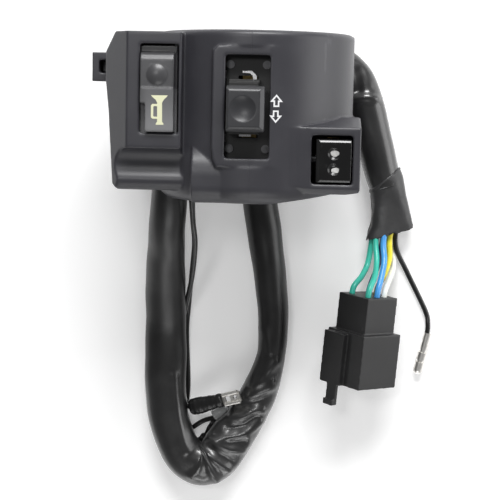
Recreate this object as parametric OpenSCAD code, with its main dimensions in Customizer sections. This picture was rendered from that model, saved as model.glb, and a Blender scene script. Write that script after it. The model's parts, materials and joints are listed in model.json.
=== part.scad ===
// Left-hand motorbike handlebar switch cluster, lying face up on its own harness.
// X runs across the handlebar, Y along it towards the grip, Z up through the switch faces.
// The origin is on the handlebar's axis, halfway along the clamp.

/* [Handlebar clamp] */
// Diameter of the handlebar that the clamp closes on
bar_d = 22.2; // [21:0.1:23]
// Radial clearance between the bar and the clamp
bar_clear = 0.05; // [0.02:0.01:0.1]
// Wall of the saddle round the bar
saddle_wall = 2.9; // [2.2:0.1:3.2]
// Depth of the housing behind the bar's axis
rear_depth = 19; // [18.6:0.1:22]
// Length of the housing along the bar
case_len = 58; // [57.6:0.2:62]
// Gap at the parting line of the two halves
seam = 0.2; // [0.1:0.05:0.4]

/* [Housing] */
// Radius of the round front
drum_r = 34.6; // [34:0.1:36]
// Wall of the moulded shells
wall = 2.4; // [2:0.1:2.6]
// Rounding of the front's grip-side edge
top_round = 2; // [1:0.1:3]
// Rounding of the front's inner edge
bottom_round = 6; // [4:0.2:6.5]
// Slope of the upper half's inner end, in degrees
end_slope = 8.5; // [6:0.5:10]
// Left end of the raised collar, from the seam
collar_w = 19.8; // [18:0.2:21]
// Length of the raised collar along the bar
collar_len = 9.4; // [8.6:0.1:12.5]
// Radius of the crest that falls from the collar to the valley
saddle_round = 12; // [9:0.5:14]
// Diameter of the case screws' thread
screw_d = 5; // [4:0.1:5.2]
// Length of the case screws under the head
screw_len = 30; // [26:0.5:34]

/* [Turn switch] */
// Width of the slot across the bar
slot_w = 14.9; // [13.8:0.1:16]
// Length of the slot along the bar
slot_l = 34.1; // [33:0.1:35]
// Travel of the knob to each side
turn_travel = 6; // [4.5:0.1:6.5]
// Length of the knob
knob_l = 15.1; // [13:0.1:17]
// Height of the knob above its pad
knob_h = 6.7; // [5:0.1:8]
// Gap between the knob and each side of the slot
knob_gap = 0.8; // [0.5:0.05:1.2]

/* [Horn switch] */
// Width of the horn opening
horn_w = 13; // [12:0.1:13.6]
// Length of the horn opening
horn_l = 29.7; // [28:0.1:30]
// Height of the horn face above the bar's axis
horn_z = 31; // [30:0.1:32]
// Height of the horn button above its face
horn_rise = 2.2; // [1.5:0.1:3]
// Travel of the horn button
horn_travel = 3; // [2:0.1:3.2]

/* [Dimmer switch] */
// Width of the dimmer opening
dim_w = 13.7; // [12.6:0.1:14.2]
// Length of the dimmer opening
dim_l = 16.2; // [15.6:0.1:16.4]
// Distance from the seam to the left end of the dimmer face
dim_left = 15.8; // [15:0.1:16.5]
// Distance from the seam to the right side of the dimmer block
dim_right = 36.9; // [36.6:0.1:38]
// Tilt of the rocker to each side, in degrees
dim_tilt = 4.5; // [3.5:0.5:5]
// Diameter of the rocker's pin
dim_pin_d = 2.4; // [2:0.1:2.6]

/* [Harness] */
// Outer diameter of the harness sleeve
sleeve_d = 13; // [11:0.1:13.4]
// Diameter of the coloured wires
wire_d = 2.2; // [1.8:0.1:2.4]
// Diameter of the black leads
lead_d = 1.9; // [1.5:0.1:2]
// Side of the connector at its wires
plug_side = 15.4; // [14.6:0.1:16]
// Side of the connector's hood
hood_side = 19.2; // [18.4:0.1:20]
// Length of the connector's wire end
plug_len = 13.6; // [12:0.1:15]
// Length of the connector's hood
hood_len = 20.2; // [18:0.1:22]
// Wall of the connector's hood
hood_wall = 1.5; // [1.2:0.1:1.8]

/* [Hidden] */
$fn = 64;

// Clearances that the fits share
fit = 0.02;
run = 0.05;
air = 0.35;
big = 300;

// Levels and centres of the housing
half = case_len / 2;
bore_r = bar_d / 2 + bar_clear;
saddle_r = bore_r + saddle_wall;
inner_r = drum_r - wall;
rear_x = drum_r - rear_depth;
slot_x = -1.15;
slot_y = 3.6;
pad_z = drum_r - 0.3;
pad_left = slot_x - slot_w / 2 - 4.3;
pad_knee = slot_x + slot_w / 2 + 0.2;
pad_low = slot_y - slot_l / 2 - 3;
pad_high = slot_y + slot_l / 2 + 3;
pad_corner = 1.5;
collar_z = drum_r - 1.4;
slope_x = 8;

// Where the pad's right flank touches the round front, as X and Z
pad_touch_turn = atan2(pad_knee, pad_z) + acos(drum_r / norm([pad_knee, pad_z]));
pad_touch = [drum_r * sin(pad_touch_turn), drum_r * cos(pad_touch_turn)];

// Case screws: one in front of the bar and two behind it
screw_head_r = screw_d * 0.85;
screw_head_h = screw_d * 0.6;
screw_seat_x = -screw_len / 2 - 1;
boss_r = screw_d / 2 + 2;
front_screw = [-half + 10, 17];
rear_screw_z = -bore_r - screw_d / 2 - 0.7;
screw_spots = [front_screw, [16, rear_screw_z], [-16, rear_screw_z]];

// Turn switch stack, from the saddle up to the pad
board_t = 1.6;
board_z = saddle_r + 1.45;
board_top = board_z + board_t;
board_w = 18.4;
board_low = front_screw[0] + boss_r + air;
board_high = slot_y + slot_l / 2 + 0.75;
guide_l = slot_l + 1.5;
contact_h = 1;
bridge_t = 0.7;
carrier_z = board_top + contact_h + air + bridge_t;
guide_t = 1;
guide_z = pad_z - wall - 4.3;
guide_top = guide_z + guide_t;
carrier_top = guide_z - air;
carrier_w = 9.2;
carrier_l = 14;
neck_w = 6;
neck_l = 8;
leaf_t = 0.3;
leaf_z = guide_top + air;
skirt_z = leaf_z + leaf_t;
skirt_top = pad_z - 1.3;
skirt_w = 8.8;
skirt_left = 6.4;
skirt_right = 4;
skirt_notch = 0.8;
skirt_l = slot_l - 2 * turn_travel - 3.9;
knob_w = slot_w - 2 * knob_gap;
knob_top = pad_z + knob_h;
knob_y = -0.6;
rivet_x = slot_w / 2 - 1.35;
rivet_y = slot_l / 2 - 3.05;
rivet_r = 1.2;
rivet_head_r = 1.4;
base_screw_x = -7.4;
base_screw_y = 10.8;
ball_r = 1.3;
ball_x = -carrier_w / 2 - 0.1;
rack_x = ball_x - ball_r - air;
pocket_len = 4;
turn_contact_pitch = 9;

// Horn block and switch
horn_x = -30.9;
horn_y = half - 19.95;
block_right = -23.3;
block_face_left = -41.7;
block_side = -50.4;
block_back = -9.5;
block_top = half - 1;
ledge_y = horn_y - horn_l / 2 - 5.1;
block_bottom = ledge_y - 14.5;
lug_reach = 6;
lug_low = block_top - 16.8;
lug_len = 10;
ledge_z = horn_z - 6;
groove_r = 6;
groove_y = ledge_y - groove_r;
groove_z = ledge_z + groove_r;
roll_r = 3.5;
roll_y = block_bottom + roll_r;
roll_z = groove_z - sqrt(pow(groove_r + roll_r, 2) - pow(groove_y - roll_y, 2));
roll_end_z = roll_z + (groove_z - roll_z) * roll_r / (groove_r + roll_r);
button_gap = [0.4, 1.4, 0.5, 2.9];
button_x0 = horn_x - horn_w / 2 + button_gap[0];
button_x1 = horn_x + horn_w / 2 - button_gap[1];
button_y0 = horn_y - horn_l / 2 + button_gap[2];
button_y1 = horn_y + horn_l / 2 - button_gap[3];
button_x = (button_x0 + button_x1) / 2;
button_y = (button_y0 + button_y1) / 2;
button_top = horn_z + horn_rise;
button_upper = button_top - 0.25;
flange_t = 2.6;
flange_top = horn_z - wall - air;
plate_t = 2;
plate_z = horn_z - 18;
plate_top = plate_z + plate_t;
stem_r = 4;
horn_contact_h = 0.5;
horn_bridge_t = 0.6;
stem_end = plate_top + horn_contact_h + air + horn_travel + horn_bridge_t;
spring_coil_r = 5.1;
spring_wire_r = 0.4;
spring_turns = 5;
cavity_left = block_side + wall + 3;
cavity_back = block_back + wall + 0.9;
cavity_top = block_top - wall;
cavity_bottom = ledge_y + wall + 0.2;
plate_screw_x = [horn_x - 8.4, horn_x + 4.8];
ledge_w = 2.8;

// Dimmer block and switch
dim_x = 27.35;
dim_y = -half + 15.5;
dim_z = sqrt(drum_r * drum_r - dim_left * dim_left);
dim_top = -half + 26.4;
dim_shoulder = 3.1;
dim_bottom = -half + 3.9;
dim_cavity_left = 17.8;
dim_cavity_right = dim_right - wall;
dim_cavity_top = dim_top - wall + 0.4;
dim_cavity_bottom = dim_bottom + wall + 0.5;
pivot_z = dim_z - 4.6;
rocker_w = dim_w - 1.9;
rocker_x = dim_x + 0.5;
rocker_half = dim_l / 2 - 0.8;
rocker_top = 5.8;
rocker_under = 3;
plunger_r = 1.4;
plunger_tip = 11.4;
plunger_boss_end = 8;
blade_pivot = pivot_z - plunger_tip - plunger_r - air - 0.4;
blade_t = 0.8;
blade_l = 14;
blade_w = 4;
blade_ratio = 0.8;
bead_r = 0.65;
dim_base_top = blade_pivot - 2.9;
dim_base_h = 7.7;
dim_base_w = 12.4;
cavity_floor = dim_base_top - dim_base_h;
dim_under = cavity_floor - 8;
dim_contact_y = 5.8;
dim_base_l = 15.6;
dim_base_screw = 4.3;

// Harness exit and levels on the table
exit_x = -29.8;
exit_z = 1;
sleeve_r = sleeve_d / 2;
grommet_wall = 1.6;
grommet_r = sleeve_r + run + grommet_wall;
sleeve_start = block_bottom + 10;
sleeve_lie = -rear_depth - 0.3 - sleeve_r;
table = sleeve_lie - sleeve_r;
lead_lie = table + lead_d / 2;
lead_x = -21.5;
lead_z = [7, 3.5];

// Route of the harness sleeve, from inside the housing to the taped end
sleeve_route = [
    [exit_x, sleeve_start, exit_z],
    [exit_x, block_bottom - 0.6, exit_z],
    [-31, -38, -2.6],
    [-32.3, -51, -11.4],
    [-33.2, -64, -18.8],
    [-33.5, -78, sleeve_lie + 1.8],
    [-33.6, -92, sleeve_lie],
    [-33.4, -108, sleeve_lie],
    [-31.8, -119, sleeve_lie],
    [-28.8, -127.6, sleeve_lie],
    [-24.6, -133.4, sleeve_lie],
    [-19.2, -136, sleeve_lie],
    [-13.6, -134, sleeve_lie],
    [-9.2, -128.4, sleeve_lie],
    [-4.8, -119.6, sleeve_lie],
    [3.6, -103, sleeve_lie],
    [7, -90, sleeve_lie],
    [7.4, -76, sleeve_lie],
    [5.8, -60, sleeve_lie],
    [0.8, -28, sleeve_lie],
    [-1, -13, sleeve_lie],
    [0, 1, sleeve_lie],
    [5.4, 12.4, sleeve_lie],
    [14.6, 19.4, sleeve_lie],
    [25, 20.6, sleeve_lie],
    [33.4, 16.6, sleeve_lie],
    [38.8, 8, sleeve_lie],
    [46, -17.4, sleeve_lie],
    [48.8, -25.6, sleeve_lie]];

// Taped end: places, half widths and half heights of its rings
tape_route = [
    [48.8, -25.6, sleeve_lie],
    [49.8, -31.4, sleeve_lie - 0.4],
    [50.4, -37.4, sleeve_lie - 1.2],
    [50.8, -43.6, sleeve_lie - 2]];
tape_half_w = [sleeve_r - 0.3, sleeve_r - 0.4, sleeve_r + 0.6, sleeve_r + 2];
tape_half_h = [sleeve_r - 0.3, sleeve_r - 0.6, sleeve_r - 1.5, sleeve_r - 2.2];

// Connector: place of its wire end, its heading on the table and its roll about its own length
plug_x = 43;
plug_y = -65.7;
plug_z = table + hood_side * 0.7 + 0.4;
plug_yaw = -4.5;
plug_roll = 42;
plug_total = plug_len + hood_len;
mouth_depth = 15;
pin_pitch = 4.2;
blade_pin = [2.3, 0.8, 9];
latch_w = 4.8;
latch_low = -5;
latch_t = 1.6;
latch_reach = 7.8;

// A point of the connector's own frame: u and v across it, w along it from its wire end
function plug_point(u, v, w) =
    let (c = cos(plug_roll), s = sin(plug_roll))
    let (x = u * c + v * s, y = -w, z = v * c - u * s)
    [plug_x + x * cos(plug_yaw) - y * sin(plug_yaw), plug_y + x * sin(plug_yaw) + y * cos(plug_yaw),
        plug_z + z];

// The last two points of a wire: just outside its cavity and inside it
function plug_entry(u, v) = [plug_point(u, v, -2), plug_point(u, v, 5)];

teal_a_route = concat([[44.6, -39.6, -27.5], [43, -53.4, -27], [40.6, -59, -23]],
    plug_entry(-pin_pitch, -pin_pitch));
teal_b_route = concat([[46.8, -39.6, -26.5], [45.4, -46, -25.5], [45.8, -53, -22], [45, -58.5, -17]],
    plug_entry(-pin_pitch, pin_pitch));
navy_route = concat([[49, -39.6, -28.5], [48, -47, -29], [46.4, -55.5, -26]],
    plug_entry(0, 0));
blue_route = concat([[49.2, -39.6, -25.8], [48.2, -46.6, -24.6], [48.6, -53, -21.5], [47.6, -58.6, -18]],
    plug_entry(0, pin_pitch + 0.4));
yellow_route = concat([[51.4, -39.6, -27], [50.6, -46, -27], [50.8, -52.5, -26.6], [49, -58.6, -24.5]],
    plug_entry(pin_pitch, 0));
white_route = concat([[51, -39.6, -29.8], [50.8, -47, -30.6], [52.6, -56, -28.5]],
    plug_entry(pin_pitch, pin_pitch));
bullet_d = 3.6;
bullet_len = 15;
bullet_yaw = -13;
bullet_lie = table + bullet_d / 2;
bullet_route = [[53.2, -39.6, -28.5], [53.2, -48.6, -29.6], [58, -58.6, lead_lie], [65.3, -73, lead_lie],
    [66.4, -78, bullet_lie], [66.2, -83, bullet_lie]];

// Two leads for the clutch switch, from the housing to their ends inside the loop
lead_a_route = [[lead_x, -half + 1, lead_z[0]], [lead_x, -half - 1, lead_z[0]], [-21.2, -38, 3],
    [-21, -47, -4.5], [-22.8, -60, -15], [-26, -73, -25.5], [-28, -84, lead_lie],
    [-27.2, -106, lead_lie + 0.7], [-25.5, -110.6, lead_lie + 3.2], [-23.6, -112.6, lead_lie + 4.6]];
lead_b_route = [[lead_x, -half + 1, lead_z[1]], [lead_x, -half - 1, lead_z[1]], [-21.6, -38, -0.8],
    [-21.6, -47, -8.5], [-23.4, -60, -19.4], [-25.2, -73, -29.4], [-26, -84, lead_lie],
    [-25.2, -104, lead_lie], [-26, -117, lead_lie], [-25.6, -121, lead_lie], [-24.2, -122.2, lead_lie],
    [-19.2, -118.8, lead_lie + 0.3], [-13.8, -116.6, lead_lie + 1.8]];
boot_d = 4.4;
boot_end = [-11, -108.2, lead_lie + 9.1];
cover_half_w = [2.8, 2.3, 1.2];
cover_half_h = [2.6, 2.1, 1.1];
cover_end = [-9.8, -112.4, table + 4.2];

function unit(v) = v / norm(v);
function heading(p, i) = unit(p[min(i + 1, len(p) - 1)] - p[max(i - 1, 0)]);
function sideways(h) = unit(cross(h, [0, 0, 1]));
function ring(p, i, a, b, sides) =
    let (h = heading(p, i), s = sideways(h), u = cross(s, h))
    [for (k = [0 : sides - 1]) p[i] + a * cos(360 * k / sides) * s + b * sin(360 * k / sides) * u];
function spread(value, count) = [for (i = [1 : count]) value];

// One closed tube along a route, with its half width and half height at each point
module swept(p, half_w, half_h, sides) {
    n = len(p);
    points = [for (i = [0 : n - 1]) each ring(p, i, half_w[i], half_h[i], sides)];
    skin = [for (i = [0 : n - 2]) for (k = [0 : sides - 1])
        let (a = i * sides + k, b = i * sides + (k + 1) % sides)
        each [[a, b, a + sides], [b, b + sides, a + sides]]];
    near_cap = [for (k = [1 : sides - 2]) [0, k + 1, k]];
    last = (n - 1) * sides;
    far_cap = [for (k = [1 : sides - 2]) [last, last + k, last + k + 1]];
    polyhedron(points, concat(skin, near_cap, far_cap));
}

module tube(p, d, sides) {
    swept(p, spread(d / 2, len(p)), spread(d / 2, len(p)), sides);
}

// An outline in X and Z, drawn out along Y
module along_y(y0, y1) {
    translate([0, y1, 0]) rotate([90, 0, 0]) linear_extrude(y1 - y0) children();
}

// An outline in Y and Z, drawn out along X
module along_x(x0, x1) {
    translate([x0, 0, 0]) rotate([90, 0, 90]) linear_extrude(x1 - x0) children();
}

module box(x0, x1, y0, y1, z0, z1) {
    translate([x0, y0, z0]) cube([x1 - x0, y1 - y0, z1 - z0]);
}

module rod_x(x0, x1, y, z, r) {
    translate([x0, y, z]) rotate([0, 90, 0]) cylinder(h = x1 - x0, r = r);
}

module rod_y(y0, y1, x, z, r) {
    translate([x, y0, z]) rotate([-90, 0, 0]) cylinder(h = y1 - y0, r = r);
}

module rod_z(z0, z1, x, y, r) {
    translate([x, y, z0]) cylinder(h = z1 - z0, r = r);
}

module at_slot() {
    translate([slot_x, slot_y, 0]) children();
}

module at_rocker() {
    translate([rocker_x, dim_y, pivot_z]) rotate([dim_tilt, 0, 0]) children();
}

module at_plug() {
    translate([plug_x, plug_y, plug_z]) rotate([0, 0, plug_yaw]) rotate([0, plug_roll, 0]) children();
}

// Everything on the lower half's side of the seam
module lower_side() {
    box(-big, -seam / 2, -big, big, -big, big);
}

module upper_side() {
    box(seam / 2, big, -big, big, -big, big);
}

// Outline of the round front from its axis outwards, with both edges rounded
module drum_section() {
    translate([0, -half + bottom_round]) square([drum_r, case_len - bottom_round - top_round]);
    translate([0, -half]) square([drum_r - bottom_round, bottom_round]);
    translate([drum_r - bottom_round, -half + bottom_round]) circle(bottom_round);
    translate([0, half - top_round]) square([drum_r - top_round, top_round]);
    translate([drum_r - top_round, half - top_round]) circle(top_round);
}

module drum_front() {
    intersection() {
        rotate([-90, 0, 0]) rotate_extrude() drum_section();
        box(-big, big, -big, big, -0.5, big);
    }
}

// The flatter back, which wraps the bar closely
module drum_back() {
    along_y(-half + 0.6, half - 0.6) {
        intersection() {
            union() {
                translate([rear_x, 0]) circle(rear_depth);
                translate([-rear_x, 0]) circle(rear_depth);
                translate([-rear_x, -rear_depth]) square([2 * rear_x, rear_depth]);
            }
            translate([-big, -big]) square([2 * big, big]);
        }
    }
}

// Outline of the pad from the front: its lower left corner runs out slowly
module pad_plan() {
    polygon([[pad_left + pad_corner, pad_low], [pad_touch[0], pad_low], [pad_touch[0], pad_high],
        [pad_left + pad_corner, pad_high], [pad_left, pad_high - pad_corner],
        [pad_left, pad_low + 4 * pad_corner], [pad_left + pad_corner / 3, pad_low + 1.6 * pad_corner]]);
}

// The flat pad round the turn slot, whose right flank runs out into the round front
module pad() {
    intersection() {
        linear_extrude(big) pad_plan();
        along_y(pad_low, pad_high)
            polygon([[pad_left, 0], [pad_left, pad_z], [pad_knee, pad_z], pad_touch, [pad_touch[0], 0]]);
    }
}

// What the pad's flat face takes off the drum's crest
module pad_cut() {
    box(pad_left, pad_touch[0], pad_low, pad_high, pad_z, big);
}

// The raised collar beside the pad: its crest falls to the valley and its lower edge is round
module collar() {
    along_x(-collar_w, 0) {
        translate([-half + bottom_round, 0]) square([collar_len - bottom_round, collar_z]);
        translate([-half, 0]) square([bottom_round, collar_z - bottom_round]);
        translate([-half + bottom_round, collar_z - bottom_round]) circle(bottom_round);
        translate([-half + collar_len, 0]) intersection() {
            translate([0, collar_z - saddle_round]) circle(saddle_round);
            square(big);
        }
    }
}

// Outline of the horn block seen along the bar, with its slanted side
module horn_block_section() {
    polygon([[block_right, horn_z], [block_face_left, horn_z], [block_side, horn_z - 11],
        [block_side, block_back + 9], [block_side + 8, block_back], [-rear_x, block_back], [-rear_x, 10],
        [block_right, 20]]);
}

// Outline of the horn block seen from the front
module horn_block_front() {
    corner = 2;
    polygon([[0, block_top], [block_side + 3.9, block_top], [block_side, block_top - 6.6],
        [block_side, lug_low], [block_side + 1.2, lug_low - 9.8], [block_side + 3, block_bottom + corner],
        [block_side + 3 + corner, block_bottom], [0, block_bottom]]);
}

// Outline of the horn block seen from the side: the face, and a groove that flows into a rolled lip
module horn_block_side() {
    difference() {
        translate([ledge_y, block_back]) square([block_top - ledge_y, horn_z - block_back]);
        translate([ledge_y, horn_z]) rotate(45) square(0.8, center = true);
    }
    difference() {
        union() {
            translate([roll_y, block_back]) square([groove_y - roll_y, roll_end_z - block_back]);
            translate([groove_y, block_back]) square([groove_r, groove_z - block_back]);
        }
        translate([groove_y, groove_z]) circle(groove_r);
    }
    translate([block_bottom, block_back]) square([roll_r, roll_z - block_back]);
    translate([roll_y, roll_z]) circle(roll_r);
}

module horn_block() {
    intersection() {
        along_y(block_bottom, block_top) horn_block_section();
        linear_extrude(big, center = true) horn_block_front();
        along_x(block_side, 0) horn_block_side();
    }
}

// The slotted lug on the horn block's side
module side_lug() {
    difference() {
        box(block_side - lug_reach, block_side + 2, lug_low, lug_low + lug_len, 4, 12);
        box(block_side - lug_reach + 2.4, block_side - 0.6, lug_low + 3, lug_low + lug_len - 2.6, 5.5, 13);
    }
}

// The hollow behind the round front, outside the saddle
module drum_cavity() {
    difference() {
        intersection() {
            rod_y(-half + wall, half - wall, 0, 0, inner_r);
            box(-big, big, -big, big, cavity_floor, big);
        }
        rod_y(-big, big, 0, 0, saddle_r);
        rod_x(screw_seat_x - 3, -screw_seat_x, front_screw[0], front_screw[1], boss_r);
    }
}

module slot_cut() {
    at_slot() translate([-slot_w / 2, -slot_l / 2, guide_top]) cube([slot_w, slot_l, big]);
}

module bore_cut() {
    rod_y(-big, big, 0, 0, bore_r);
}

module lower_case() {
    color("dimgray") difference() {
        intersection() {
            difference() {
                union() {
                    drum_front();
                    drum_back();
                    pad();
                    collar();
                    horn_block();
                    side_lug();
                }
                pad_cut();
                lower_hollows();
            }
            lower_side();
        }
        bore_cut();
    }
    color("dimgray") lower_seats();
}

module lower_hollows() {
    drum_cavity();
    slot_cut();
    // Room behind the horn face
    along_y(cavity_bottom, cavity_top)
        polygon([[block_right - 1.1, horn_z - wall], [block_face_left + 1, horn_z - wall],
            [cavity_left, horn_z - 12], [cavity_left, cavity_back + 8], [cavity_left + 7.2, cavity_back],
            [-rear_x - 3, cavity_back], [-rear_x - 3, 8], [block_right - 1.1, 20]]);
    box(horn_x - horn_w / 2, horn_x + horn_w / 2, horn_y - horn_l / 2, horn_y + horn_l / 2,
        horn_z - wall - 1, horn_z + 1);
    // Way out for the harness, and for the clutch leads
    rod_y(-big, cavity_bottom + 1, exit_x, exit_z, grommet_r + fit);
    for (z = lead_z)
        rod_y(-big, -half + wall + 1, lead_x, z, lead_d / 2 + fit);
    // Tunnels of the case screws
    for (s = screw_spots) {
        rod_x(-big, screw_seat_x, s[0], s[1], screw_head_r + 0.4);
        rod_x(screw_seat_x - 1, 1, s[0], s[1], screw_d / 2 + run);
    }
}

// Posts and ledges that carry the boards inside the lower half
module lower_seats() {
    for (sy = [-1, 1]) difference() {
        at_slot() rod_z(bore_r - 3.6, board_z, base_screw_x, sy * base_screw_y, 2.2);
        at_slot() rod_z(bore_r - 2, board_z + 1, base_screw_x, sy * base_screw_y, 0.9);
        rod_y(-big, big, 0, 0, saddle_r - 0.4);
    }
    for (y = [cavity_bottom - 0.2, cavity_top - ledge_w]) difference() {
        box(cavity_left - 0.4, block_right - 1, y, y + ledge_w + 0.2, plate_z - 5, plate_z);
        for (x = plate_screw_x)
            rod_z(plate_z - 4, plate_z + 1, x, y + ledge_w / 2 + 0.1, 0.9);
    }
}

// The plane that slopes the upper half's inner end, moved in by a depth
module below_slope(depth) {
    translate([slope_x, -half + 0.3 + depth, 0]) rotate([0, 0, end_slope])
        box(-20, big, -big, 0, -big, big);
}

// Outline of the dimmer block seen from the side, with its sloped shoulder and a bevelled lower edge
module dimmer_side() {
    rise = 2;
    fall = 13;
    edge = 1.7;
    edge_drop = 1.4;
    polygon([[dim_bottom, dim_z - edge_drop],
        [dim_bottom + edge * (1 + rise / edge_drop), dim_z + rise],
        [dim_top - dim_shoulder * rise / fall, dim_z + rise],
        [dim_top + dim_shoulder, dim_z - fall], [dim_top + dim_shoulder, dim_under],
        [dim_bottom, dim_under]]);
}

// Outline of the dimmer block seen along the bar: its face runs up into the round front
module dimmer_section() {
    polygon([[dim_left - 6, dim_z], [dim_left - 3.3, dim_z + 1.45], [dim_left + 0.2, dim_z + 0.42],
        [dim_left + 4.4, dim_z], [dim_right, dim_z], [dim_right, cavity_floor], [dim_right - 3.5, dim_under],
        [dim_left, dim_under]]);
}

module dimmer_block() {
    corner = 2;
    difference() {
        intersection() {
            along_x(0, dim_right) dimmer_side();
            along_y(dim_bottom, dim_top + dim_shoulder) dimmer_section();
        }
        // The lower right corner is rounded
        difference() {
            box(dim_right - corner, dim_right + 1, dim_bottom - 1, dim_bottom + corner, -big, big);
            rod_z(-big, big, dim_right - corner, dim_bottom + corner, corner);
        }
    }
}

module upper_case() {
    color("dimgray") difference() {
        intersection() {
            difference() {
                union() {
                    drum_front();
                    drum_back();
                    pad();
                    dimmer_block();
                }
                pad_cut();
                below_slope(0);
                upper_hollows();
            }
            upper_side();
        }
        bore_cut();
    }
    color("dimgray") dimmer_ear();
}

module upper_hollows() {
    difference() {
        drum_cavity();
        below_slope(wall);
    }
    slot_cut();
    difference() {
        box(dim_cavity_left, dim_cavity_right, dim_cavity_bottom, dim_cavity_top, cavity_floor, dim_z - wall);
        below_slope(wall);
    }
    box(dim_x - dim_w / 2, dim_x + dim_w / 2, dim_y - dim_l / 2, dim_y + dim_l / 2,
        dim_z - wall - 1, dim_z + 1);
    rod_x(dim_cavity_right - 1, dim_cavity_right + 1.3, dim_y, pivot_z, dim_pin_d / 2 + fit);
    for (s = screw_spots)
        rod_x(-1, screw_seat_x + screw_len + 1.5, s[0], s[1], screw_d / 2 + run);
    for (sx = [-1, 1])
        rod_z(cavity_floor - 6, cavity_floor + 1, rocker_x + sx * dim_base_screw, dim_y, 1.1 + fit);
}

// The ear that carries the left end of the rocker's pin
module dimmer_ear() {
    right = dim_x - dim_w / 2 - 0.2;
    difference() {
        box(dim_cavity_left - 0.5, right, dim_y - 3, dim_y + 3, pivot_z - 3, dim_z - wall + 0.3);
        rod_x(dim_cavity_left + 0.3, right + 1, dim_y, pivot_z, dim_pin_d / 2 + fit);
    }
}

module case_screws() {
    color("silver") for (s = screw_spots) difference() {
        union() {
            rod_x(screw_seat_x, screw_seat_x + screw_len, s[0], s[1], screw_d / 2);
            rod_x(screw_seat_x - screw_head_h, screw_seat_x, s[0], s[1], screw_head_r);
        }
        translate([screw_seat_x - screw_head_h - 1, s[0], s[1]]) {
            translate([1.6, 0, 0]) cube([3.2, 1, screw_head_r * 1.2], center = true);
            translate([1.6, 0, 0]) cube([3.2, screw_head_r * 1.2, 1], center = true);
        }
    }
}

module turn_base() {
    color("peru") difference() {
        box(slot_x - board_w / 2, slot_x + board_w / 2, board_low, board_high, board_z, board_top);
        at_slot() for (sy = [-1, 1])
            rod_z(board_z - 1, board_top + 1, base_screw_x, sy * base_screw_y, 0.9);
        at_slot() for (sx = [-1, 1], sy = [-1, 1])
            rod_z(board_z - 1, board_top + 1, sx * rivet_x, sy * rivet_y, rivet_r * 0.6 + fit);
        at_slot() for (k = [-1 : 1])
            translate([-1, k * turn_contact_pitch - 1, board_z - 1]) cube([2, 2, board_t + 2]);
    }
}

module turn_base_screws() {
    color("silver") at_slot() for (sy = [-1, 1]) {
        rod_z(board_z - 3, board_top + 0.1, base_screw_x, sy * base_screw_y, 0.9 - fit);
        rod_z(board_top, board_top + 1.2, base_screw_x, sy * base_screw_y, 1.6);
    }
}

// Three fixed contacts, each with a tail through the board
module turn_contacts() {
    color("goldenrod") at_slot() for (k = [-1 : 1]) {
        translate([-2.5, k * turn_contact_pitch - 1.5, board_top]) cube([5, 3, contact_h]);
        translate([-1 + fit, k * turn_contact_pitch - 1 + fit, board_z - 0.6])
            cube([2 - 2 * fit, 2 - 2 * fit, board_t + 1]);
    }
}

// The plate that guides the knob's neck, with the notched flange of the detent
module turn_guide() {
    window_l = neck_l + 2 * turn_travel + 2 * air;
    flange_l = carrier_l + 2 * turn_travel - 6;
    color([0.1, 0.1, 0.1]) at_slot() difference() {
        union() {
            translate([rack_x - 1, -guide_l / 2, guide_z])
                cube([board_w / 2 - rack_x + 0.6, guide_l, guide_t]);
            translate([rack_x - 1, -flange_l / 2, carrier_z + 0.8]) cube([1, flange_l, guide_z - carrier_z]);
        }
        translate([-neck_w / 2 - air, -window_l / 2, guide_z - 1])
            cube([neck_w + 2 * air, window_l, guide_t + 2]);
        for (k = [-1 : 1])
            rod_z(carrier_z, guide_z - 0.5, ball_x - 0.2, k * turn_travel, ball_r + air + 0.1);
        for (sx = [-1, 1], sy = [-1, 1])
            rod_z(guide_z - 1, guide_top + 1, sx * rivet_x, sy * rivet_y, rivet_r * 0.6 + fit);
    }
}

// Four shouldered rivets that hold the guide plate over the board
module turn_rivets() {
    color("silver") at_slot() for (sx = [-1, 1], sy = [-1, 1]) {
        rod_z(board_top, guide_z, sx * rivet_x, sy * rivet_y, rivet_r);
        rod_z(board_z - 0.5, guide_top + 0.1, sx * rivet_x, sy * rivet_y, rivet_r * 0.6);
        rod_z(guide_top, guide_top + 0.7, sx * rivet_x, sy * rivet_y, rivet_head_r);
    }
}

// Outline of the knob from the side: steep ends with a narrow flat along each top edge
module knob_side() {
    bevel = 1.7;
    drop = 1.9;
    edge = 0.65;
    edge_drop = 0.35;
    for (s = [-1, 1])
        polygon([[0, skirt_top], [s * (knob_l / 2 - 0.4), skirt_top], [s * knob_l / 2, knob_top - drop],
            [s * (knob_l / 2 - bevel + edge), knob_top - edge_drop], [s * (knob_l / 2 - bevel), knob_top],
            [0, knob_top]]);
}

// Outline of the knob from its end: a small bevel on the left and a wider one on the right
module knob_end() {
    bevel = 0.8;
    right = knob_w / 2 - bevel;
    polygon([[-knob_w / 2, skirt_top], [-knob_w / 2, knob_top - bevel], [-knob_w / 2 + bevel, knob_top],
        [right - 1.8 * bevel, knob_top], [right, knob_top - 1.5 * bevel], [right, skirt_top]]);
}

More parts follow.
